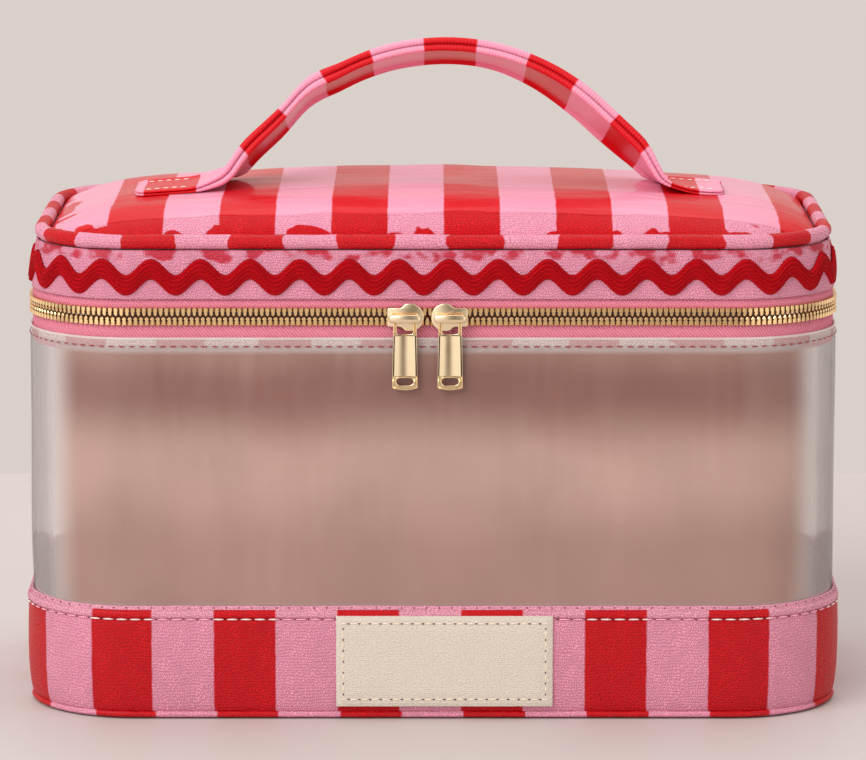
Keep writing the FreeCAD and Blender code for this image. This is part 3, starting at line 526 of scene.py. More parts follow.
class Sweep:
    """A section carried along a path; each vertex keeps how far along and how far round it lies."""

    def __init__(self, points, closed=True, distance=0.0):
        self.bm = bmesh.new()
        self.along = self.bm.verts.layers.float.new("along")
        self.round = self.bm.verts.layers.float.new("round")
        self.closed = closed
        self.distance = distance
        self.verts = [self.bm.verts.new(point) for point in points]
        reach = 0.0
        for index, vert in enumerate(self.verts):
            if index:
                reach += (vert.co - self.verts[index - 1].co).length
            vert[self.round] = reach
            vert[self.along] = distance
        self.girth = reach + (self.verts[-1].co - self.verts[0].co).length
        pairs = list(zip(self.verts, self.verts[1:]))
        if closed:
            pairs.append((self.verts[-1], self.verts[0]))
        self.edges = [self.bm.edges.new(pair) for pair in pairs]
        self.first = list(self.edges)

    def step(self, advance):
        """Add one row of faces, still in the last row's place."""
        made = bmesh.ops.extrude_edge_only(self.bm, edges=self.edges)["geom"]
        self.verts = new_verts(made)
        fresh = set(self.verts)
        self.edges = [
            item for item in made
            if isinstance(item, bmesh.types.BMEdge) and fresh.issuperset(item.verts)
        ]
        self.distance += advance
        for vert in self.verts:
            vert[self.along] = self.distance

    def go(self, way, count=1):
        """Straight on."""
        way = Vector(way) / count
        for _ in range(count):
            self.step(way.length)
            bmesh.ops.translate(self.bm, verts=self.verts, vec=way)

    def turn(self, centre, axis, angle, count, reach):
        """Round a centre; reach is the radius that the distance is counted on."""
        turning = Matrix.Rotation(angle / count, 3, axis)
        for _ in range(count):
            self.step(abs(angle) / count * reach)
            bmesh.ops.rotate(self.bm, verts=self.verts, cent=centre, matrix=turning)

    def cap(self):
        """Close both ends."""
        for edges in (self.first, self.edges):
            bmesh.ops.contextual_create(self.bm, geom=edges)

    def lay(self):
        """Flatten the cloth on its UV map, in millimetres."""
        uv = self.bm.loops.layers.uv.new("cloth")
        for face in self.bm.faces:
            rounds = [loop.vert[self.round] for loop in face.loops]
            wraps = self.closed and max(rounds) - min(rounds) > self.girth / 2
            for loop, reach in zip(face.loops, rounds):
                if wraps and reach < self.girth / 2:
                    reach += self.girth
                loop[uv].uv = (loop.vert[self.along], reach)
        return self.bm


def round_plan(section, closed=True, gap=0.0, fine=GRID_STEP, turns=12):
    """A section of (inset, height) points carried round the case, from the middle of its back."""
    points = [(-gap, HALF_Y - inset, height) for inset, height in section]
    sweep = Sweep(points, closed, gap - ROUND / 2)
    front_steps = 2 * round(RUN_X / fine)
    side_steps = 2 * round(RUN_Y / fine)
    back_steps = max(1, round((RUN_X - gap) / fine))
    legs = (
        ((-RUN_X, RUN_Y, 0), (0, -2 * RUN_Y, 0), side_steps),
        ((-RUN_X, -RUN_Y, 0), (2 * RUN_X, 0, 0), front_steps),
        ((RUN_X, -RUN_Y, 0), (0, 2 * RUN_Y, 0), side_steps),
        ((RUN_X, RUN_Y, 0), (gap - RUN_X, 0, 0), back_steps),
    )
    sweep.go((gap - RUN_X, 0, 0), back_steps)
    for corner, run, steps in legs:
        sweep.turn(corner, "Z", math.pi / 2, turns, CORNER)
        sweep.go(run, steps)
    if gap and closed:
        sweep.cap()
    return sweep.lay()


def plan_length(inset):
    """Length of a line round the case at an inset."""
    return STRAIGHTS + (CORNER - inset) * math.tau


def facing(heading):
    """The direction of a heading, and the outward direction beside it."""
    x, y = math.cos(heading), math.sin(heading)
    return Vector((x, y, 0)), Vector((y, -x, 0))


def plan_place(distance, inset):
    """Point, direction and outward direction at a distance from the front's middle, on a line at an inset."""
    distance %= plan_length(inset)
    radius = CORNER - inset
    point = Vector((0, inset - HALF_Y, 0))
    heading = 0.0
    for run in PLAN_RUNS:
        way, out = facing(heading)
        if distance <= run:
            return point + way * distance, way, out
        distance -= run
        centre = point + way * run - out * radius
        turn = min(distance / radius, math.pi / 2)
        distance -= turn * radius
        heading += turn
        way, out = facing(heading)
        point = centre + out * radius
        if distance <= 0:
            break
    return point, way, out


def circle(inset, height, radius, count):
    """Points of a round section."""
    turns = [math.tau * index / count for index in range(count)]
    return [(inset + radius * math.cos(t), height + radius * math.sin(t)) for t in turns]


def ruffle(bm, depth, size, seed, held=None):
    """Small uneven waves in cloth, along its own face; held gives the share at a vertex."""
    bm.normal_update()
    moves = []
    for vert in bm.verts:
        share = 1.0 if held is None else held(vert.co)
        spot = vert.co / size + Vector((seed, seed * 0.7, seed * 1.3))
        moves.append(vert.normal * (depth * share * noise.noise(spot)))
    for vert, move in zip(bm.verts, moves):
        vert.co += move


def turn_out(bm):
    """Turn the faces outward."""
    bmesh.ops.recalc_face_normals(bm, faces=bm.faces)


def weld(bm):
    """Join doubled vertices."""
    bmesh.ops.remove_doubles(bm, verts=bm.verts, dist=0.004)
    turn_out(bm)


def flat_grid(bm, columns, rows):
    """A grid of size 1, for a piece to be drawn out of."""
    return bmesh.ops.create_grid(bm, x_segments=columns, y_segments=rows, size=0.5)["verts"]


def add_object(name, data):
    made = bpy.data.objects.new(name, data)
    bpy.context.scene.collection.objects.link(made)
    return made


def add_mesh(name, bm, material):
    """A mesh object, in metres."""
    bmesh.ops.scale(bm, vec=(MM, MM, MM), verts=bm.verts)
    mesh = bpy.data.meshes.new(name)
    bm.to_mesh(mesh)
    bm.free()
    mesh.materials.append(material)
    return add_object(name, mesh)


def finish_piece(name, bm, material, body=None, nodes=(), sharp=0):
    """Make a piece and let it ride on its body; edges over a sharp angle stay crisp."""
    piece = add_mesh(name, bm, material)
    piece.data.shade_smooth()
    if sharp:
        piece.data.set_sharp_from_angle(angle=math.radians(sharp))
    if body:
        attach(piece, body)
    if nodes:
        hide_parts(*nodes)
    return piece


def wrap_piece(name, section, material, body, node, waves=(), gap=0.0):
    """A piece carried round the case; waves are its ruffle's depth, size, seed and held share."""
    bm = round_plan(section, gap=gap)
    weld(bm)
    if waves:
        ruffle(bm, *waves)
    finish_piece(name, bm, material, body, [node])


def stitches(name, places, length, thick, material, body="base"):
    """Short rounded stitches; a place is its point, its direction and the face's outward direction."""
    bm = bmesh.new()
    for point, way, out in places:
        side = out.cross(way)
        axes = Matrix((way * length, side * thick, out * thick)).transposed().to_4x4()
        matrix = Matrix.Translation(point) @ axes
        bmesh.ops.create_uvsphere(bm, u_segments=6, v_segments=4, radius=0.5, matrix=matrix)
    finish_piece(name, bm, material, body)


def plan_row(pitch, inset, height, start=0.0, stop=None):
    """Places of a row of stitches round the plan."""
    stop = plan_length(inset) if stop is None else stop
    count = round((stop - start) / pitch)
    places = []
    for index in range(count):
        point, way, out = plan_place(start + (index + 0.5) * (stop - start) / count, inset)
        places.append((point + UP * height, way, out))
    return places


def soften(bm, edges, offset, segments):
    """Bevel some edges."""
    bmesh.ops.bevel(
        bm, geom=edges, offset=offset, offset_type="OFFSET", segments=segments,
        profile=0.5, affect="EDGES", material=-1, clamp_overlap=True,
    )


def block(bm, centre, size, bevel=0.0, segments=2):
    """A box with softened edges."""
    matrix = Matrix.Translation(centre) @ Matrix.Diagonal((*size, 1.0))
    made = bmesh.ops.create_cube(bm, size=1.0, matrix=matrix)["verts"]
    if bevel:
        soften(bm, list({edge for vert in made for edge in vert.link_edges}), bevel, segments)


def close_back(bm, axis, level):
    """Draw the open rim out to a level on one axis, and fill it there."""
    rims = [edge for edge in bm.edges if edge.is_boundary]
    made = bmesh.ops.extrude_edge_only(bm, edges=rims)["geom"]
    for vert in new_verts(made):
        vert.co[axis] = level
    bmesh.ops.holes_fill(bm, edges=[edge for edge in bm.edges if edge.is_boundary], sides=0)
    turn_out(bm)


# Base
def make_base():
    """Band, the roll at its foot, the binding at its top, and their stitches."""
    band = [
        (2.3, 2.55), (1.6, 2.7), (1.2, 3.3), (0.7, 5.5), (0.3, 9.0), (0.0, 14.0), (-0.1, 21.0), (-0.1, 28.0),
        (0.0, 34.2), (0.1, 35.6), (0.45, 36.35), (0.9, 36.5), (1.2, 36.1), (1.2, 20.0), (1.4, 6.0),
    ]
    waves = (0.22, 17.0, 2.0, lambda co: clamp((co.z - 3.2) / 4) * (co.z < 35.0))
    wrap_piece("base_band_cloth", band, BAND_CANVAS, "base", "base_band", waves)
    roll = [
        (0.8, 1.65), (0.95, 1.1), (1.4, 0.65), (2.1, 0.45), (4.4, 0.45), (4.4, 1.4), (3.25, 2.3),
        (2.7, 2.65), (2.0, 2.8), (1.4, 2.65), (0.95, 2.1),
    ]
    waves = (0.1, 8.0, 4.0, lambda co: co.z > 0.5)
    wrap_piece("bottom_roll", roll, ROLL_CANVAS, "base", "bottom_piping", waves)
    binding = [
        (0.5, 36.3), (0.0, 36.6), (-0.15, 37.3), (-0.15, 38.1), (0.05, 38.7), (0.5, 39.1), (0.95, 38.95),
        (1.05, 39.4), (1.1, 40.2), (1.4, 40.7), (1.75, 40.65), (1.9, 40.2), (1.9, 37.0), (1.5, 36.4),
    ]
    waves = (0.2, 9.0, 6.0, lambda co: co.z > 36.8)
    wrap_piece("base_binding_roll", binding, BINDING_CANVAS, "base", "base_binding", waves)

    pitch, seam = 4.85, 36.1
    places = plan_row(pitch, -0.05, seam)
    stitches("base_band_stitches", places, 4.3, 0.62, BAND_THREAD)
    # Dark spots of painted shade for the needle holes between the stitches
    places = plan_row(pitch, -0.02, seam, -pitch / 2, plan_length(-0.02) - pitch / 2)
    stitches("base_band_holes", places, 0.7, 0.5, RED_HOLE_SHADE)
    # Dark spots of painted shade for the needle holes along the binding's fold
    places = plan_row(4.4, 1.1, 40.0)
    stitches("base_binding_holes", places, 0.8, 0.5, RED_HOLE_SHADE)


# Window
def make_window():
    """Vinyl wall, the facing behind its top edge and the stitches through both."""
    heights = [
        29.5, 35.5, 40.5, 42.5, 47.5, 55.5, 65.5, 77.5, 89.5, 101.5, 112.5, 121.0, 127.5, 132.5, 135.4,
    ]
    outer = [(2.0, height) for height in heights]
    inner = [(2.6, height) for height in reversed(heights)]
    bm = round_plan(outer + [(2.12, 135.9), (2.48, 135.9)] + inner, fine=5.1, turns=16)
    weld(bm)
    bulge(bm)
    finish_piece("window_vinyl", bm, VINYL, "base", ["window_panel"])
    strip = [(2.72, 132.0), (2.72, 133.8), (2.75, 135.7), (2.98, 135.7), (2.98, 132.0)]
    wrap_piece(
        "window_facing_strip", strip, FACING_CANVAS, "base", "window_facing", gap=FACING_GAP,
    )
    places = plan_row(3.6, 1.95, 132.7, -305.0, 305.0)
    stitches("window_top_stitches", places, 2.5, 0.5, RED_THREAD)


def bulge(bm):
    """Slack in the vinyl: shallow swells, and a few long creases beside the corners."""
    for vert in bm.verts:
        x, y, z = vert.co
        free = clamp((z - 42.5) / 14) * clamp((131.5 - z) / 12)
        if not free:
            continue
        swell = noise.noise(Vector((x / 60, y / 60, z / 55 + 3.0)))
        crease = noise.noise(Vector((x / 9, y / 9, z / 90 + 8.0)))
        near = max(0.0, 1.0 - abs(abs(x) - 128.0) / 18)
        vert.co += Vector((x, y, 0.0)).normalized() * (free * (0.9 * swell + 0.9 * crease * near))


# Zipper
def make_zipper():
    """Two tapes and the two rows of teeth on them."""
    lower = [
        (3.1, 130.1), (3.1, 134.5), (3.1, 137.1), (3.12, 140.4), (3.7, 140.4), (3.7, 134.5), (3.7, 130.1),
    ]
    wrap_piece("zip_tape_lower", lower, TAPE, "base", "zipper_tape_lower", gap=TAPE_GAP)
    upper = [
        (3.1, 146.0), (3.15, 147.6), (3.9, 149.2), (4.4, 153.0), (4.9, 152.9), (4.5, 149.5), (3.8, 148.0),
        (3.7, 146.0),
    ]
    wrap_piece("zip_tape_upper", upper, TAPE, "lid", "zipper_tape_upper", gap=TAPE_GAP)
    reach = plan_length(CHAIN_INSET) / 2 - CHAIN_GAP
    count = int((reach - 3.0) / CHAIN_PITCH)
    rows = (("zipper_teeth_lower", "base", 1.0, 0.0), ("zipper_teeth_upper", "lid", -1.0, 0.5))
    for name, body, up, stagger in rows:
        bm = bmesh.new()
        for index in range(-count, count + 1):
            if index + stagger > count:
                continue
            point, way, out = plan_place((index + stagger) * CHAIN_PITCH, CHAIN_INSET)
            # The back runs are slimmer, so that they clear each other as the lid swings.
            slim = 0.4 if out.y > 0.95 else 1.0
            tooth(bm, point + UP * CHAIN_Z, way, out * slim, up)
        finish_piece(name.replace("zipper", "brass"), bm, TEETH_BRASS, body, [name], 35)


def tooth(bm, point, way, out, up):
    """One tooth: a broad leg on the tape, a neck and a tapered head that nearly meets the other row."""
    axes = Matrix((way, out, UP)).transposed().to_4x4()
    leg = ((1.5, 3.0, 1.3), 2.3, 0.35, 0.0)
    neck = ((1.05, 2.4, 1.2), 1.3, 0.0, 0.0)
    head = ((1.5, 2.7, 0.75), 0.55, 0.36, 0.6)
    for size, drop, bevel, taper in (leg, neck, head):
        place = Matrix.Translation(point - UP * (drop * up)) @ axes
        verts = bmesh.ops.create_cube(bm, size=1.0, matrix=place @ Matrix.Diagonal((*size, 1.0)))["verts"]
        for vert in verts:
            if (vert.co.z - place.translation.z) * up > 0:
                vert.co -= way * ((vert.co - point).dot(way) * taper)
        edges = {edge for vert in verts for edge in vert.link_edges}
        upright = [edge for edge in edges if abs(edge.verts[0].co.z - edge.verts[1].co.z) > 0.5]
        if bevel:
            soften(bm, upright, bevel, 1)


def make_hinge():
    """One strip of cloth at the back that bends between the base and the lid."""
    bm = bmesh.new()
    grid = flat_grid(bm, 44, 16)
    uv = bm.loops.layers.uv.new("cloth")
    bmesh.ops.scale(bm, vec=(HINGE_WIDTH, HINGE_HEIGHT, 1.0), verts=grid)
    for face in bm.faces:
        for loop in face.loops:
            loop[uv].uv = loop.vert.co.xy
    bmesh.ops.rotate(bm, verts=grid, cent=(0, 0, 0), matrix=UPRIGHT)
    bmesh.ops.translate(bm, verts=grid, vec=(0, HINGE_Y, HINGE_Z))
    turn_out(bm)
    bmesh.ops.solidify(bm, geom=bm.faces, thickness=0.8)
    strip = finish_piece("hinge_strip", bm, TAPE)
    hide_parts("hinge_leaf_lower", "hinge_leaf_upper")
    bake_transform(strip, "base", "lid", (0, 0.0733, 0.1387), (0, 0.0733, 0.1477))


# Lid
def make_lid():
    """Side band, piping, crowned top and braid."""
    band = [
        (2.78, 149.15), (2.74, 149.7), (3.3, 154.6), (3.85, 159.6), (4.35, 164.4), (4.6, 165.9),
        (5.1, 166.15), (5.6, 165.8), (4.85, 159.0), (3.78, 149.5),
    ]
    waves = (0.3, 14.0, 9.0, lambda co: 151.0 < co.z < 165.0)
    wrap_piece("lid_band_cloth", band, LID_BAND_CANVAS, "lid", "lid_side_band", waves)
    roll = circle(6.6, 168.85, 2.6, 16)
    waves = (0.25, 9.0, 12.0)
    wrap_piece("lid_piping_roll", roll, PIPING_CANVAS, "lid", "lid_piping", waves)
    make_lid_top()
    make_braid()


def lid_drop(x):
    """How far the crowned lid falls towards its ends."""
    return 5.1 * (x / 116.0) ** 2


def crown(slope, flat):
    """The lid's crowned face: the slope from its edge, then a broad middle that dips and swells a little."""
    bm = round_plan(slope, closed=False)
    half_x = round(RUN_X / GRID_STEP)
    half_y = round(RUN_Y / GRID_STEP)
    grid = flat_grid(bm, 2 * half_x, 2 * half_y)
    bmesh.ops.scale(bm, vec=(2 * RUN_X, 2 * RUN_Y, 1.0), verts=grid)
    bmesh.ops.translate(bm, verts=grid, vec=(0, 0, flat))
    bmesh.ops.remove_doubles(bm, verts=bm.verts, dist=0.02)
    turn_out(bm)
    for vert in bm.verts:
        share = clamp((vert.co.z - LID_EDGE) / (LID_FLAT - LID_EDGE))
        swell = noise.noise(Vector((vert.co.x / 34, vert.co.y / 26, 2.0)))
        small = noise.noise(Vector((vert.co.x / 13, vert.co.y / 15, 5.0)))
        loose = min(1.0, 2 * share)
        vert.co.z += loose * (0.7 * swell + 0.25 * small - 0.3) - share * lid_drop(vert.co.x)
    return bm


def make_lid_top():
    """Crowned cloth and the foam under it."""
    slope = [
        (9.3, 167.2), (9.4, 168.2), (10.0, 170.2), (11.2, 172.4), (13.3, 174.7), (16.0, 176.7), (19.2, 178.4),
        (22.8, 179.7), (27.5, 180.9), (32.5, 181.7), (36.5, 181.95), (CORNER, LID_FLAT),
    ]
    bm = crown(slope, LID_FLAT)
    top = finish_piece("lid_top_cloth", bm, LID_CANVAS, "lid", ["lid_top_panel"])
    thick = top.modifiers.new("cloth", "SOLIDIFY")
    thick.thickness = 0.8 * MM
    thick.offset = -1.0
    fine = top.modifiers.new("smooth", "SUBSURF")
    fine.levels = 1
    fine.render_levels = 1
    flat = LID_FLAT - FOAM_DEPTH
    under = [(min(inset + 1.2, CORNER), height - FOAM_DEPTH) for inset, height in slope[2:-1]]
    bm = crown(under + [(CORNER, flat)], flat)
    close_back(bm, 2, FOAM_LOW)
    pad = finish_piece("lid_foam_pad", bm, FOAM, "lid", ["lid_foam"], 50)


def make_braid():
    """Wavy braid: a ribbed ribbon that swings up and down round the lid band."""
    middle_inset = 3.6
    length = plan_length(middle_inset)
    waves = 46
    period = length / waves
    girth = 16.0
    first_crest = 5.4
    bm = bmesh.new()
    grid = flat_grid(bm, waves * 16, 24)
    uv = bm.loops.layers.uv.new("cloth")
    for face in bm.faces:
        for loop in face.loops:
            loop[uv].uv = (loop.vert.co.x * length, loop.vert.co.y * girth)
    for vert in grid:
        turn = math.tau * (vert.co.x * length - first_crest) / period
        swing = BRAID_SWING * math.cos(turn)
        tilt = 0.12 * math.atan(-BRAID_SWING * math.sin(turn) * math.tau / period)
        level, stand = braid_section(vert.co.y + 0.5)
        height = BRAID_Z + swing + level * math.cos(tilt)
        inset = 2.75 + (height - LID_LOW) * 0.1111 - stand
        point, _, out = plan_place(vert.co.x * length - level * math.sin(tilt), middle_inset)
        vert.co = point + out * (middle_inset - inset) + UP * height
    weld(bm)
    finish_piece("wavy_braid", bm, BRAID, "lid", ["wavy_trim"])


def braid_section(turn):
    """Place across the ribbon and height off the band, once round its section."""
    half = 3.65
    face = 0.8
    if turn < face:
        share = turn / face * 2 - 1
        rounded = (1 - abs(share) ** 4) ** 0.5
        return half * share, (1.45 + 0.2 * math.cos(share * math.pi * 5)) * rounded
    share = 1 - (turn - face) / 0.2 * 2
    return half * share, -0.1


# Handle
def strap_section():
    """Points round the strap's section: a flat web and two small rolls, one above the other, at each edge."""
    web = [index / 4 - 1 for index in range(9)]
    turns = [math.radians(t) for t in (150, 120, 90, 60, 30, 0, -30, -60, -85)]
    roll = [(15.6 + 1.2 * math.cos(t), 1.28 + 1.2 * math.sin(t)) for t in turns]
    edge = roll + [(y, -n) for y, n in reversed(roll)]
    top = [(13.4 * share, 1.2 + 0.3 * (1 - share * share)) for share in web]
    under = [(-13.4 * share, -1.2) for share in web]
    return top + edge + under + [(-y, -n) for y, n in edge]


def make_handle():
    """Strap from its left sewn end over the arch to its right one."""
    level = -0.3
    bend = 8.0
    left_end, right_end = -107.0, 104.5
    lean = math.radians(43.5)
    middle = Vector((4.5, 0, -35.8))
    radius = 79.9
    shoulder = middle + Vector((-math.sin(lean), 0, math.cos(lean))) * radius
    meet = shoulder.x - (shoulder.z - level) / math.tan(lean)
    tangent = bend * math.tan(lean / 2)
    leg = (shoulder.z - level) / math.sin(lean) - tangent
    landing = 2 * middle.x - meet
    rounded = 7.0
    sweep = Sweep([(left_end, y, level + n) for y, n in strap_section()])
    sweep.go((rounded, 0, 0), 7)
    sweep.go((meet - tangent - left_end - rounded, 0, 0), 8)
    left_fold = sweep.distance + bend * lean / 2
    sweep.turn((meet - tangent, 0, level + bend), "Y", -lean, 7, bend)
    sweep.go(Vector((math.cos(lean), 0, math.sin(lean))) * leg, 10)
    sweep.turn(middle, "Y", 2 * lean, 44, radius)
    sweep.go(Vector((math.cos(lean), 0, -math.sin(lean))) * leg, 10)
    right_fold = sweep.distance + bend * lean / 2
    sweep.turn((landing + tangent, 0, level + bend), "Y", -lean, 7, bend)
    sweep.go((right_end - rounded - landing - tangent, 0, 0), 7)
    sweep.go((rounded, 0, 0), 7)
    sweep.cap()
    bm = sweep.lay()
    weld(bm)
    along = bm.verts.layers.float["along"]
    floor = level - 2.45
    for vert in bm.verts:
        # How far past its fold on the lid, and how far from the end of its tab
        place = min(vert[along] - left_fold, right_fold - vert[along])
        spare = min(vert.co.x - left_end, right_end - vert.co.x)
        rise = ease(place / 14.0)
        # The tabs lie flat, with rounded ends.
        flat = 1.0 - 0.6 * ease((34.0 - spare) / 16.0) * (1.0 - rise)
        vert.co.z = floor + (vert.co.z - floor) * flat
        if place < 0 and spare < rounded:
            curve = math.sqrt(max(0.0, rounded ** 2 - (rounded - spare) ** 2))
            vert.co.y *= (STRAP_HALF - rounded + curve) / STRAP_HALF
        # The left shoulder has a kink, and the right side turns a little inward.
        kink = ease(1.0 - abs(vert.co.x + 44.0) / 12.0) * rise
        vert.co += Vector((-0.5, 0, 1.4)) * kink
        twist = ease(1.0 - abs(vert.co.x - 58.0) / 44.0) * rise
        inward = (middle - Vector((vert.co.x, 0, vert.co.z))).normalized()
        vert.co += inward * (0.1 * twist * (vert.co.y + STRAP_HALF))
        # The arch leans back, and its feet stay on the lid.
        tilt = math.radians(15.0) * ease((place + 12.0) / 22.0)
        middle_z = level + max(0.0, place) * math.sin(lean)
        sunk = max(0.0, level - (middle_z * math.cos(tilt) - vert.co.y * math.sin(tilt)))
        vert.co = Matrix.Rotation(-tilt, 3, "X") @ vert.co
        vert.co.z += sunk - lid_drop(vert.co.x) * (1.0 - rise)
    ruffle(bm, 0.2, 18.0, 20.0, lambda co: co.z > 5.0)
    bmesh.ops.translate(bm, verts=bm.verts, vec=(0, 0, PIVOT_Z))
    strap = finish_piece("handle_cloth", bm, STRAP_CANVAS)
    nodes = ("handle_strap", "handle_roll_front", "handle_roll_back", "handle_tab_left", "handle_tab_right")
    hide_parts(*nodes)
    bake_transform(strap, "lid", "handle", (0, -0.002, 0.1857), (0, 0.006, 0.2087))
    places = []
    for low, high in ((left_end + 3.5, left_end + 19.0), (right_end - 19.0, right_end - 3.5)):
        for side in (-1, 1):
            for index in range(5):
                x = low + (high - low) * (index + 0.5) / 5
                places.append((Vector((x, side * 10.6, PIVOT_Z - 1.0 - lid_drop(x))), RIGHT, UP))
    stitches("handle_stitches", places, 2.5, 0.5, PALE_THREAD, "lid")


# Sliders, bails and pulls
def plate_outline(side):
    """Front view of a slider: round nose towards the other slider, soft shoulders and a square tail."""
    points = []
    for index in range(17):
        turn = math.radians(-112 + 14 * index)
        points.append((-4.95 * math.cos(turn), 4.95 * math.sin(turn)))
    points += [(2.35, 3.9), (2.9, 3.5), (3.7, 3.32), (7.4, 3.3), (7.85, 2.85)]
    points += [(7.85, -2.85), (7.4, -3.3), (3.7, -3.32), (2.9, -3.5), (2.35, -3.9)]
    return [(x * side, z) for x, z in points]


def plate(bm, outline, centre, front, thick, bevel):
    """A flat plate with rounded rims, whose front face lies at y = front."""
    face = bm.faces.new([bm.verts.new((centre.x + x, front, centre.z + z)) for x, z in outline])
    made = bmesh.ops.extrude_face_region(bm, geom=[face])["geom"]
    bmesh.ops.translate(bm, verts=new_verts(made), vec=(0, thick, 0))
    faces = [face] + [item for item in made if isinstance(item, bmesh.types.BMFace)]
    soften(bm, list({edge for item in faces for edge in item.edges}), bevel, 3)


def make_sliders():
    """Two sliders nose to nose, each with its bail and its pull."""
    for name, side, nose_x, pull_x in (("left", -1, -8.05, -9.75), ("right", 1, 4.25, 5.95)):
        nose = Vector((nose_x, CHAIN_Y, CHAIN_Z))
        bm = bmesh.new()
        plate(bm, plate_outline(side), nose, CHAIN_Y - 3.0, 1.2, 0.34)
        plate(bm, plate_outline(side), nose, CHAIN_Y + 1.8, 1.2, 0.3)
        block(bm, nose + Vector((-side * 3.15, 0, 0)), (2.6, 3.7, 0.2))
        for depth in (-1.25, 1.25):
            block(bm, nose + Vector((0, depth, -3.95)), (4.4, 1.1, 0.45), 0.1, 1)
        turn_out(bm)
        body = f"slider_{name}"
        finish_piece(f"slider_{name}_plates", bm, BRASS, body, [f"slider_body_{name}"], 40)
        axis = Vector((pull_x, PULL_Y, CHAIN_Z))
        make_bail(name, axis, body)
        make_pull(name, axis, f"pull_{name}")


def make_bail(name, axis, body):
    """Smooth rounded bar on two feet."""
    bm = bmesh.new()
    turned = Matrix.Rotation(math.pi / 2, 4, "Y")
    bar = bmesh.ops.create_uvsphere(bm, u_segments=24, v_segments=12, radius=1.0, matrix=turned)["verts"]
    for vert in bar:
        end = (vert.co.x > 0.01) - (vert.co.x < -0.01)
        vert.co = axis + Vector((1.5 * vert.co.x + 4.2 * end, 0.85 * vert.co.y, 1.55 * vert.co.z))
    for side in (-1, 1):
        block(bm, axis + Vector((side * 4.85, 1.75, 0)), (1.3, 2.9, 2.3), 0.4)
    finish_piece(f"slider_{name}_crown", bm, BRASS, body, [f"slider_bail_{name}"], 60)


def make_pull(name, axis, body):
    """Tapered pull with a square eye, a hollow face, a slot near its foot and a raised rim."""
    foot = -24.7
    outline = [(-3.6, 0.7), (3.6, 0.7), (4.0, 0.2), (4.45, -24.3), (4.2, foot)]
    for share in (0.85, 0.7, 0.5, 0.3, 0.15):
        outline.append((-4.2 + 8.4 * share, foot - 0.7 * math.sin(math.pi * share)))
    outline += [(-4.2, foot), (-4.45, -24.3), (-4.0, 0.2)]
    eye = [(-2.75, -1.5), (2.75, -1.5), (2.85, -5.0), (2.4, -5.6), (-2.4, -5.6), (-2.85, -5.0)]
    slot = []
    for side, base in ((1, -90), (-1, 90)):
        for index in range(7):
            turn = math.radians(base + 30 * index)
            slot.append((side * 1.75 + 1.25 * math.cos(turn), -22.3 + 1.25 * math.sin(turn)))
    bm = bmesh.new()
    front = axis.y + 2.25 - 0.6
    edges = []
    for loop in (outline, eye, slot):
        verts = [bm.verts.new((axis.x + x, front, axis.z + z)) for x, z in loop]
        edges += [bm.edges.new(pair) for pair in zip(verts, verts[1:] + verts[:1])]
    filled = bmesh.ops.triangle_fill(bm, use_beauty=True, use_dissolve=False, edges=edges)["geom"]
    faces = [item for item in filled if isinstance(item, bmesh.types.BMFace)]
    made = bmesh.ops.extrude_face_region(bm, geom=faces)["geom"]
    bmesh.ops.translate(bm, verts=new_verts(made), vec=(0, 1.2, 0))
    turn_out(bm)
    soften(bm, [edge for edge in bm.edges if edge.calc_face_angle(0.0) > 1.0], 0.2, 2)
    sunk = [face for face in bm.faces if face.normal.y < -0.99]
    bmesh.ops.inset_region(
        bm, faces=sunk, thickness=0.38, depth=-0.6, use_boundary=True,
        use_even_offset=True, use_relative_offset=False,
    )
    # Shallow hollow between the eye and the slot
    panel = flat_grid(bm, 16, 4)
    for vert in panel:
        share = 0.5 - vert.co.y
        half = 3.42 + 0.25 * share
        x = 2 * vert.co.x
        vert.co = Vector((axis.x + x * half, front + 0.56 - 0.52 * x * x, axis.z - 6.35 - 14.05 * share))
    fresh = set(panel)
    hollow = [face for face in bm.faces if fresh.issuperset(face.verts)]
    bmesh.ops.recalc_face_normals(bm, faces=hollow)
    bmesh.ops.reverse_faces(bm, faces=[face for face in hollow if face.normal.y > 0])
    finish_piece(f"pull_{name}_plate", bm, BRASS, body, [f"pull_{name}"], 30)


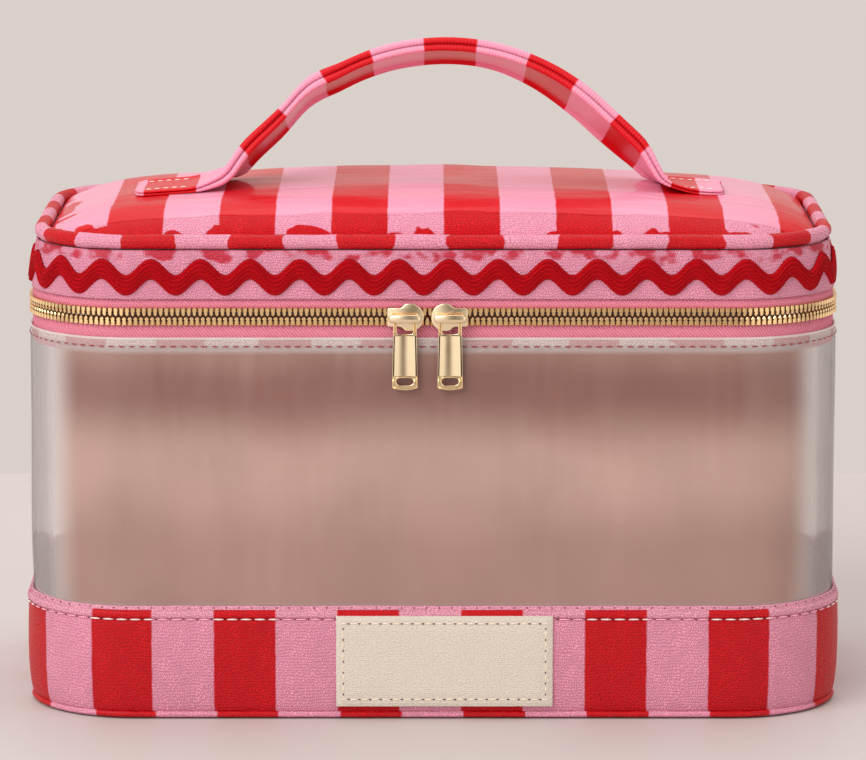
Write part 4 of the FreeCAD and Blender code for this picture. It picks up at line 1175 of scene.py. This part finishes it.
# Patch
def make_patch():
    """Bare sewn patch with a soft edge."""
    bm = bmesh.new()
    grid = flat_grid(bm, 50, 24)
    bmesh.ops.scale(bm, vec=(PATCH_WIDTH, PATCH_HEIGHT, 1.0), verts=grid)
    for vert in grid:
        edge = min(PATCH_WIDTH / 2 - abs(vert.co.x), PATCH_HEIGHT / 2 - abs(vert.co.y))
        swell = noise.noise(Vector((vert.co.x / 12, vert.co.y / 9, 4.0)))
        sewn = max(0.0, 1.0 - abs(edge - 2.6) / 1.4)
        rim = min(1.0, edge / 1.3)
        vert.co.z = 0.75 + 0.7 * math.sqrt(max(0.0, 1 - (1 - rim) ** 2)) - 0.28 * sewn + 0.1 * swell
    weld(bm)
    bmesh.ops.rotate(bm, verts=bm.verts, cent=(0, 0, 0), matrix=UPRIGHT)
    bmesh.ops.translate(bm, verts=bm.verts, vec=(PATCH_X, -HALF_Y, PATCH_Z))
    close_back(bm, 1, -HALF_Y + 0.05)
    finish_piece("patch_cloth", bm, PATCH, "base", ["label_patch"], 50)

    # Threads and the holes between them, in turn along each side; the holes are dark spots of painted shade
    rows = ([], [])
    threads, holes = rows
    out = Vector((0, -1, 0))
    face = -HALF_Y - 1.2
    for side in (-1, 1):
        for index in range(39):
            point = Vector((PATCH_X + (index - 19) * 1.865, face, PATCH_Z + side * 13.6))
            rows[index % 2].append((point, RIGHT, out))
        for index in range(13):
            point = Vector((PATCH_X + side * 35.5, face, PATCH_Z + (index - 6) * 1.96))
            rows[1 - index % 2].append((point, UP, out))
    stitches("patch_stitches", threads, 2.8, 0.6, PATCH_THREAD)
    stitches("patch_stitch_holes", holes, 1.0, 0.62, HOLE_SHADE)


# Pieces that keep their construction shape
def dress_nodes():
    kept = (
        (LID_BAND_CANVAS, ("bottom_panel",)),
        (GREYBOARD, ("base_board", "band_stiffener", "lid_board")),
        (LINING, ("floor_lining", "base_lining", "window_seam_tape", "lid_band_lining", "lid_top_lining")),
        (TEETH_BRASS, ("zipper_stops",)),
    )
    for material, names in kept:
        for name in names:
            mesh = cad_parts[name].data
            mesh.materials.clear()
            mesh.materials.append(material)


# Studio
def plain_finish(name, colour):
    """Smooth floor with faint clouds."""
    finish = new_finish(name)
    cloud = finish.grain(260.0, 2.0)
    return finish.done({
        "Base Color": finish.shade(colour, 0.97 + cloud * 0.06),
        "Roughness": 0.55 + cloud * 0.05,
    })


def make_studio():
    """Floor, room, two lamps and the photo's view."""
    bm = bmesh.new()
    flat_grid(bm, 2, 2)
    bmesh.ops.scale(bm, vec=(6000.0, 983.0, 1.0), verts=bm.verts)
    bmesh.ops.translate(bm, verts=bm.verts, vec=(0, -108.5, -0.05))
    floor = add_mesh("floor", bm, plain_finish("pale_floor", srgb(206, 199, 196)))
    make_sky()
    lamp("key", (-1.0, -1.3, 1.3), 1.6, 22.0)
    lamp("top", (0.1, 0.5, 1.5), 1.6, 8.0)

    data = bpy.data.cameras.new("camera")
    data.lens = 203.3
    data.sensor_width = 36.0
    camera = add_object("camera", data)
    target = Vector((0, -0.076, 0.1213))
    rise = math.radians(9.8)
    away = 1.7
    camera.location = target + Vector((0, -math.cos(rise), math.sin(rise))) * away
    camera.rotation_euler = (math.pi / 2 - rise, 0, 0)
    bpy.context.scene.camera = camera
    bpy.context.scene.view_settings.view_transform = "Standard"


def make_sky():
    """Pale room, brighter on both sides of the viewer and darker behind them."""
    sky = Finish(bpy.data.worlds.new("studio"))
    side, depth, _ = sky.parts(sky.node("ShaderNodeTexCoord", {}, "Generated"))
    front = 1.0 - sky.ease(depth, -0.6, -0.1)
    gap = 1.0 - sky.ease(abs(side - 0.1), 0.04, 0.28)
    lit = sky.mix(front, srgb(218, 208, 202), (1.15, 1.1, 1.05, 1.0))
    colour = sky.mix(gap * front, lit, srgb(122, 112, 104))
    light = sky.node("ShaderNodeBackground", {"Color": colour, "Strength": 1.0})
    out = sky.tree.nodes.new("ShaderNodeOutputWorld")
    sky.tree.links.new(light.socket, out.inputs["Surface"])
    bpy.context.scene.world = sky.owner


def lamp(name, place, size, power):
    """A round lamp that faces the case."""
    data = bpy.data.lights.new(name, "AREA")
    data.shape = "DISK"
    data.size = size
    data.energy = power
    light = add_object(name, data)
    light.location = place
    light.rotation_euler = (Vector((0, 0, 0.1)) - Vector(place)).to_track_quat("-Z", "Y").to_euler()


make_base()
make_window()
make_zipper()
make_hinge()
make_lid()
make_handle()
make_sliders()
make_patch()
dress_nodes()
make_studio()

bpy.context.view_layer.update()
